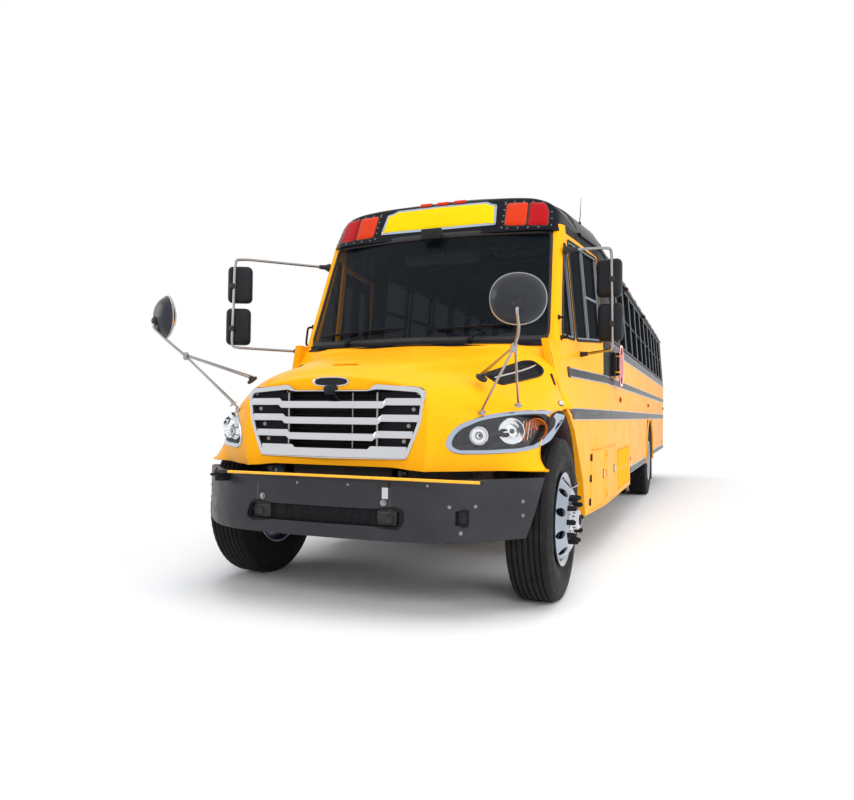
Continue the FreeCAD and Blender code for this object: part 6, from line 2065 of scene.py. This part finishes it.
def make_entrance():
    """The entrance: its surround, treads, handrails and two leaves."""
    for word, start, end, body in (("front", 1124, 1496, "door_leaf_front"),
                                   ("rear", 1504, 1879, "door_leaf_rear")):
        kit = Kit()
        for y0, y1, z0, z1 in ((start, start + 52, 432, 2490), (end - 52, end, 432, 2490),
                               (start + 52, end - 52, 432, 622), (start + 52, end - 52, 1378, 1502),
                               (start + 52, end - 52, 2398, 2490)):
            leaf_bar(kit, y0, y1, z0, z1)
        for z0, z1 in ((620, 1380), (1500, 2400)):
            hole = rounded(rect(start + 52, end - 52, z0, z1), 30, 5)
            rows = [[(-door_x(y, z) + depth, y, z) for y, z in grown(hole, grow)]
                    for depth, grow in ((-1, 2), (-4, 0), (-4, -14), (8, -18), (16, -18))]
            kit.grid(rows, 1, closed=True)
            leaf_bar(kit, start + 50, end - 50, z0 - 2, z1 + 2, 13, 19, 2, 1)
        edge = end - 3 if word == "front" else start + 3
        leaf_bar(kit, edge - 9, edge + 9 if word == "rear" else edge + 2, 436, 2486, -5, 30, 1, 1)
        leaf_bar(kit, start + 14, end - 4, 434, 462, -3, 4, 1, 1)
        for z in (520, 1440, 2440):
            for y in (start + 26, end - 26):
                kit.bolt((-door_x(y, z), y, z), (-1, 0, 0), 4, 3)
        x = -door_x(start + 90, 1400) + 46
        grip = end - 74 if word == "front" else start + 74
        kit.tube(bent([(x - 14, grip, 900), (x + 26, grip, 910), (x + 60, grip, 1700),
                       (x + 24, grip, 1712)], 30), 11, mat=3, sides=12)
        kit.done(f"entrance_leaf_{word}", ("black", "rubber", "glass", "steel"), body,
                 "black_paint", 35, replaces=(f"entrance_door_{word}",))
    kit = Kit()
    for y0, y1, z0, z1 in ((1076, 1117, 425, 2520), (1884, 1922, 425, 2520),
                           (1076, 1922, 2494, 2534)):
        kit.wall(rect(y0, y1, z0, z1), -2, 5, -1, 2)
    for y in (1096, 1903):
        for z in range(520, 2480, 140):
            kit.bolt(skin(-1, y, z, 5), (-1, 0, 0), 3.5, 1)
    kit.done("entrance_surround", ("satin_black", "steel"), "body", "black_paint", 35)
    steps = Kit()
    for k, z in enumerate((415, 620, 825)):
        out = -1100 + 158 * k
        steps.box((out, 1128, z - 6), (out + 158, 1872, z + 3), 1, 0)
        for i in range(9):
            steps.box((out + 12 + 16 * i, 1134, z + 2), (out + 20 + 16 * i, 1866, z + 6), 1, 0)
        steps.box((out - 6, 1128, z - 14), (out + 8, 1872, z + 7), 3, 1)
    steps.done("step_treads", ("floor_mat", "sign_yellow"), "body", "floor_rubber", 35)
    rail = Kit()
    for y in (1098, 1902):
        rail.tube(bent([(-1050, y, 700), (-1000, y, 730), (-700, y, 1500), (-640, y, 1520),
                        (-640, y, 1050)], 60), 15, mat=0, sides=16)
    rail.done("step_handrails", "satin_chrome", "body", "chrome", 35)


# ---------------------------------------------------------------- inside

def stuffed(low, high, bulge):
    """A foam pad between two corners, blown up a little as cloth over its filling."""
    kit = Kit()
    kit.box([a + 8 for a in low], [b - 8 for b in high], 30, 0, 3)
    pad = kit.as_object("pad", Vector())
    grid = pad.modifiers.new("grid", "REMESH")
    grid.mode = "VOXEL"
    grid.voxel_size = 0.017
    settle(pad)
    rest = [v.co.copy() for v in pad.data.vertices]
    cloth = pad.modifiers.new("cloth", "CLOTH")
    cloth.settings.use_pressure = True
    cloth.settings.uniform_pressure_force = 4
    cloth.settings.effector_weights.gravity = 0
    cloth.point_cache.frame_start = 1
    cloth.point_cache.frame_end = 20
    for frame_number in range(1, 21):
        bpy.context.scene.frame_set(frame_number)
    settle(pad)
    bpy.context.scene.frame_set(1)
    for vert, start in zip(pad.data.vertices, rest):
        move = vert.co - start
        if move.length > bulge / 1000:
            vert.co = start + move.normalized() * bulge / 1000
    smooth = pad.modifiers.new("smooth", "SMOOTH")
    smooth.factor = 0.5
    smooth.iterations = 4
    thin = pad.modifiers.new("thin", "DECIMATE")
    thin.ratio = 0.42
    settle(pad)
    pad.data.materials.clear()
    pad.data.materials.append(M["vinyl"])
    pad.data.shade_smooth()
    ready = pad.data
    bpy.data.objects.remove(pad)
    return ready


def place_pad(mesh, name, place, tilt=0.0, replaces=()):
    """A soft pad of this mesh in its place, stuffed and fixed to the body."""
    pad = bpy.data.objects.new(name, mesh)
    pad.location = at(*place)
    pad.rotation_euler = (math.radians(tilt), 0, 0)
    bpy.context.scene.collection.objects.link(pad)
    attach(pad, "body")
    if replaces:
        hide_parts(*replaces)


def make_seats():
    """The benches, their barriers and the driver's seat."""
    cushion = stuffed((-465, -222, -58), (465, 222, 58), 16)
    back = stuffed((-465, -42, -300), (465, 42, 300), 18)
    cushion.name, back.name = "bench_cushion_mesh", "bench_back_mesh"
    piping = Kit()
    for row in range(11):
        y = 2420 + PITCH * row
        for side, word in WORD.items():
            x = side * 665
            place_pad(cushion, f"bench_cushion_{word}_{row + 1}", (x, y + 212, 1388), 2,
                      replaces=("passenger_seats",) if (row, side) == (0, 1) else ())
            place_pad(back, f"bench_back_{word}_{row + 1}", (x, y + 442, 1728), -4)
            seams = [[(-440, 508, 2016), (0, 510, 2022), (440, 508, 2016)]]
            for out in (452, -452):
                seams[:0] = [[(out, 478, 1460), (out, 494, 1720), (out, 508, 1990)],
                             [(out, 2, 1452), (out, 200, 1458), (out, 380, 1452)]]
            for seam in seams:
                piping.tube([(x + a, y + b, z) for a, b, z in seam], 4, sides=8)
            for along in (30, 400):
                piping.tube([(x - 440, y + along, 1326), (x + 440, y + along, 1326)], 14,
                            sides=12, mat=1)
    piping.done("bench_piping", ("vinyl", "satin_black"), "body", "seat_cover")
    barrier = stuffed((-465, -22, -380), (465, 22, 380), 8)
    barrier.name = "barrier_mesh"
    for side, word in WORD.items():
        place_pad(barrier, f"barrier_{word}", (side * 665, 1985, 1545))
    base = stuffed((-240, -215, -55), (240, 215, 55), 14)
    rest = stuffed((-240, -45, -300), (240, 45, 300), 14)
    head = stuffed((-130, -35, -70), (130, 35, 70), 10)
    base.name, rest.name, head.name = "driver_cushion_mesh", "driver_back_mesh", "driver_head_mesh"
    place_pad(base, "driver_cushion", (600, 1510, 1490), 3, replaces=("driver_seat",))
    place_pad(rest, "driver_backrest", (600, 1770, 1800), -7)
    place_pad(head, "driver_headrest", (600, 1822, 2090), -7)
    kit = Kit()
    kit.box((370, 1310, 1372), (830, 1730, 1436), 16, 0)
    kit.lathe([(0, 130), (160, 120), (170, 96), (260, 96), (270, 118), (345, 126)],
              (600, 1520, 1032), (0, 0, 1), 32, 0)
    for i in range(5):
        kit.lathe([(0, 132), (8, 138), (16, 132)], (600, 1520, 1190 + 22 * i), (0, 0, 1), 32, 1)
    kit.box((355, 1400, 1030), (845, 1700, 1050), 6, 0)
    kit.tube([(600, 1796, 2060), (600, 1788, 2010)], 8, mat=2)
    kit.tube(bent([(840, 1640, 1440), (858, 1640, 1640), (852, 1400, 1660)], 40), 16, mat=0)
    kit.done("driver_seat_frame", ("plastic", "rubber", "steel"), "body", "interior_grey")


def make_lining():
    """The panels inside the body and the fittings on the dash."""
    kit = Kit()
    inner = -53
    for side in (1, -1):
        for start in WINDOWS:
            hole = window_edge(start, start + 640, 1935, 2640, 40)
            ring = rounded(rect(start - 33, start + 673, 1880, 2700), 3, 6)
            skin_frame(kit, side, [(ring, inner), (ring, inner - 4), (grown(hole, 2), inner - 4),
                                   (grown(hole, -2), inner + 40)], 0, closed=False)
        panels = [(2218, 10446, 1201, 1880), (WINDOWS[-1] + 673, 10446, 1880, EAVES)]
        if side > 0:
            panels += [(660, 2218, 1201, 1788), (1770, 2218, 1788, EAVES), (966, 1770, 2600, EAVES)]
        else:
            panels += [(1930, 2218, 1201, EAVES), (1080, 1930, 2530, EAVES)]
        for panel in panels:
            kit.wall(rect(*panel), inner, inner - 4, side, 0, 0)
    kit.box((-1100, 10440, 1200), (-474, 10446, 1930), 1, 0)
    kit.box((474, 10440, 1200), (1100, 10446, 1930), 1, 0)
    kit.box((-1050, 10440, 2570), (1050, 10446, 2760), 1, 0)
    kit.done("inner_lining", "lining", "body", "interior_grey", 35)
    dash = Kit()
    dash.plate("YZ", [(700, 1690), (760, 1790), (850, 1800), (900, 1700), (905, 1640)], 300, 900,
               12, 0)
    for x, size in ((420, 44), (540, 62), (680, 62), (800, 44)):
        dash.lathe([(0, size), (8, size), (10, size - 6), (4, size - 8), (4, 0)], (x, 886, 1716),
                   (0, 0.92, 0.3), 30, 1)
    for k in range(10):
        dash.box((120 + 36 * (k % 5), 938, 1520 + 40 * (k // 5)), (144 + 36 * (k % 5), 950,
                                                                   1546 + 40 * (k // 5)), 3, 1)
    for x in (-880, -560, 60, 960):
        dash.box((x - 60, 868, 1600), (x + 60, 892, 1650), 6, 1)
    dash.box((-1000, 660, 1700), (280, 840, 1712), 5, 0)
    dash.box((-90, 650, 2600), (90, 690, 2690), 16, 0)
    dash.plate("XZ", rounded(rect(-330, 330, 2440, 2540), 40, 6), 905, 935, 8, 0)
    dash.tube([(0, 920, 2540), (0, 905, 2660)], 9, mat=1)
    dash.done("dash_fittings", ("plastic", "satin_black"), "body", "interior_grey")


make_cab_front()
make_entrance()
make_seats()
make_lining()

# ---------------------------------------------------------------- the tail

def make_tail():
    """The rear door, the rear wall's trim, the tail lamps, the bumper's face and the flaps."""
    leaf = Kit()
    x0, x1, z0, z1 = -469, 463, 1047, 2473
    leaf.plate("XZ", rounded(rect(x0, x1, z0, 1168), 4, 2), 10460, TAIL + 2, 2, 0)
    for low, high in ((1572, 1788), (2392, z1)):
        leaf.plate("XZ", rect(x0, x1, low, high), 10460, TAIL + 2, 2, 0)
    for a, b in ((x0, -342), (342, x1)):
        for low, high in ((1160, 1574), (1786, 2394)):
            leaf.plate("XZ", rect(a, b, low, high), 10462, TAIL + 1, 0, 0)
    for low, high in ((1180, 1560), (1800, 2380)):
        hole = rounded(rect(-330, 330, low, high), 50, 6)
        leaf.frame("XZ", [(grown(hole, 14), 10461), (grown(hole, 14), TAIL + 6),
                          (grown(hole, 4), TAIL + 9), (grown(hole, -8), TAIL + 6),
                          (grown(hole, -8), 10461)], 1)
        leaf.plate("XZ", grown(hole, 2), 10484, 10489, 0, 2)
    leaf.plate("XZ", rounded(rect(330, 420, 1640, 1730), 16, 4), TAIL, TAIL + 12, 4, 3)
    leaf.tube(bent([(350, TAIL + 8, 1684), (352, TAIL + 46, 1684), (250, TAIL + 46, 1684),
                    (236, TAIL + 16, 1684)], 16), 9, mat=4)
    for z in (1180, 1760, 2340):
        leaf.lathe([(-55, 9), (55, 9)], (-470, TAIL, z), (0, 0, 1), 14, 3)
        leaf.plate("XZ", rounded([(-462, z - 44), (-388, z - 30), (-388, z + 30), (-462, z + 44)],
                                 8, 3), TAIL, TAIL + 6, 2, 3)
        for dz in (-18, 18):
            leaf.bolt((-410, TAIL + 6, z + dz), (0, 1, 0), 4, 4)
    leaf.done("tail_door_leaf", ("yellow", "rubber", "glass", "satin_black", "steel"), "tail_door",
              "yellow_paint", 35, replaces=("rear_door",))
    kit = Kit()
    ring = rect(-484, 478, 1032, 2488)
    kit.frame("XZ", [(grown(ring, 26), TAIL - 1), (grown(ring, 26), TAIL + 5), (ring, TAIL + 5),
                     (ring, TAIL - 1)], 0)
    for z in (1180, 1760, 2340):
        kit.plate("XZ", rounded(rect(-560, -480, z - 44, z + 44), 8, 3), TAIL, TAIL + 6, 2, 0)
    for low, high in ((600, 1040), (-1040, -600)):
        hole = rounded(rect(low, high, 1935, 2560), 60, 6)
        kit.frame("XZ", [(grown(hole, 24), TAIL - 1), (grown(hole, 22), TAIL + 8),
                         (grown(hole, 4), TAIL + 10), (grown(hole, -8), TAIL + 4),
                         (grown(hole, -8), 10470)], 0)
    for z0, z1, half in ((1484, 1562, 1168), (1162, 1255, 1210)):
        for side in (1, -1):
            inner, outer = sorted((side * 516, side * half))
            kit.plate("XZ", rect(inner, outer, z0, z1), TAIL - 1, TAIL + 7, 2, 0)
            # Painted highlights: three thin satin chrome strips on the ridges of each black rail
            # end, where the ridges catch the light.
            for dz in (0.3, 0.5, 0.7):
                z = z0 + (z1 - z0) * dz
                kit.plate("XZ", rect(inner + 6, outer - 6, z - 4, z + 4), TAIL + 6, TAIL + 11, 2, 1)
    rows = []
    for inset, y in ((0, 10496), (-2, TAIL + 3), (-22, TAIL + 9), (-44, TAIL + 10)):
        line = roof_line(10440)
        scale = 1 + inset / 1150
        rows.append([(x * scale, y, 2702 + (z - 2700) * scale) for x, z in line])
    kit.grid(rows)
    for side in (1, -1):
        kit.plate("XZ", [(side * 1120, 1893), (side * 1175, 1893), (side * 1120, 2690),
                         (side * 1085, 2690)], TAIL - 1, TAIL + 3, 1, 0)
    kit.done("tail_trim", ("satin_black", "satin_chrome"), "body", "black_paint", 35)
    lamps = Kit()

    def lamp_pair(place, base, dome, steps, lens, hollow=False):
        """A lamp's rubber base and its lens."""
        lamps.lathe(base, place, (0, 1, 0), steps, 3, hollow)
        lamps.lathe(dome, place, (0, 1, 0), steps, lens)

    for side in (1, -1):
        for x, mat in ((940, 0), (720, 1)):
            lamp_pair((side * x, TAIL, 2800), [(-2, 112), (10, 112), (14, 104), (14, 96)],
                      [(0, 100), (20, 97), (34, 80), (44, 50), (48, 16), (48, 0)], 40, mat, True)
        for z, mat in ((1730, 1), (1390, 0)):
            lamp_pair((side * 1010, TAIL, z), [(-2, 100), (8, 100), (12, 92)],
                      [(6, 90), (24, 86), (38, 64), (44, 30), (45, 0)], 36, mat)
        lamp_pair((side * 780, TAIL, 1390), [(-2, 62), (8, 62), (12, 56)],
                  [(6, 54), (20, 50), (28, 30), (30, 0)], 30, 2)
        lamps.lathe([(-1, 40), (5, 40), (8, 36), (10, 0)], (side * 1120, TAIL, 1000), (0, 1, 0),
                    24, 1)
    for x in (-150, 0, 150):
        lamps.plate("XZ", rounded(rect(x - 46, x + 46, 2975, 3000), 10, 4), TAIL, TAIL + 20, 6, 1)
    lamps.plate("XZ", rounded(rect(-440, 440, 2700, 2870), 16, 4), TAIL, TAIL + 6, 2, 3)
    lamps.plate("XZ", rounded(rect(-425, 425, 2715, 2855), 8, 4), TAIL + 3, TAIL + 9, 1, 4)
    lamps.plate("XZ", rounded(rect(-720, -540, 930, 1010), 8, 3), TAIL, TAIL + 4, 1, 5)
    lamps.done("tail_lamps", ("amber", "red", "white_lens", "rubber", "sign_yellow", "aluminium"),
               "body", "lamp_lens", 40)
    low = Kit()
    low.frame("XZ", [(rect(-1190, 1190, 604, 826), 10590), (rect(-1126, 1126, 608, 822), 10602),
                     (rect(-1120, 1120, 640, 790), 10602)], 0)
    for x in (-1000, -400, 400, 1000):
        for z in (660, 770):
            low.bolt((x, 10600, z), (0, 1, 0), 11, 1)
    low.done("rear_bumper_face", ("hammered", "steel"), "body", "bumper_black", 35)
    flaps = Kit()
    for side in (1, -1):
        a, b = sorted((side * 600, side * 1205))
        flaps.box((a, 7640, 180), (b, 7648, 760), 2, 0)
        flaps.box((a, 7637, 700), (b, 7651, 740), 2, 1)
        a, b = sorted((side * 905, side * 1180))
        flaps.box((a, 628, 300), (b, 636, 700), 2, 0)
    flaps.done("mud_flaps", ("rubber", "steel"), "body", "floor_rubber", 35)


def make_liners():
    """Dished linings over the wheels."""
    kit = Kit()
    for side in (1, -1):
        rows = []
        for out in (1168, 1120, 900, 552):
            line = []
            for i in range(31):
                a = math.radians(54 + 120 * i / 30)
                radius = 636 if out > 1150 else 618
                line.append((side * out, -math.cos(a) * radius + 16,
                             530 + math.sin(a) * (radius + 62)))
            rows.append(line)
        kit.grid(rows)
        a, b = sorted((side * 548, side * 560))
        kit.box((a, -560, 760), (b, 600, 1180), 3)
        rows = []
        for out in (1216, 1196, 620):
            line = []
            for i in range(31):
                a = math.radians(180 * i / 30)
                line.append((side * out, WHEELBASE - math.cos(a) * 606, 540 + math.sin(a) * 604))
            rows.append(line)
        kit.grid(rows)
    piece = kit.done("wheel_arch_liners", (), "body", "chassis_black", 35)
    thicken(piece, 0.004)
    piece.data.materials.append(M["liner"])
    piece.data.shade_smooth()
    lips = Kit()
    for side in (1, -1):
        rows = []
        for i in range(41):
            a = math.radians(-2 + 184 * i / 40)
            y, z = WHEELBASE - math.cos(a) * 610, 540 + math.sin(a) * 609
            y2, z2 = WHEELBASE - math.cos(a) * 648, 540 + math.sin(a) * 647
            rows.append([skin(side, y, z, -20), skin(side, y, z, 10), skin(side, y, z, 15),
                         skin(side, y2, z2, 8), skin(side, y2, z2, -2)])
        lips.grid(rows)
    lips.done("rear_arch_lips", "yellow", "body", "yellow_paint", 35)


make_tail()
make_liners()
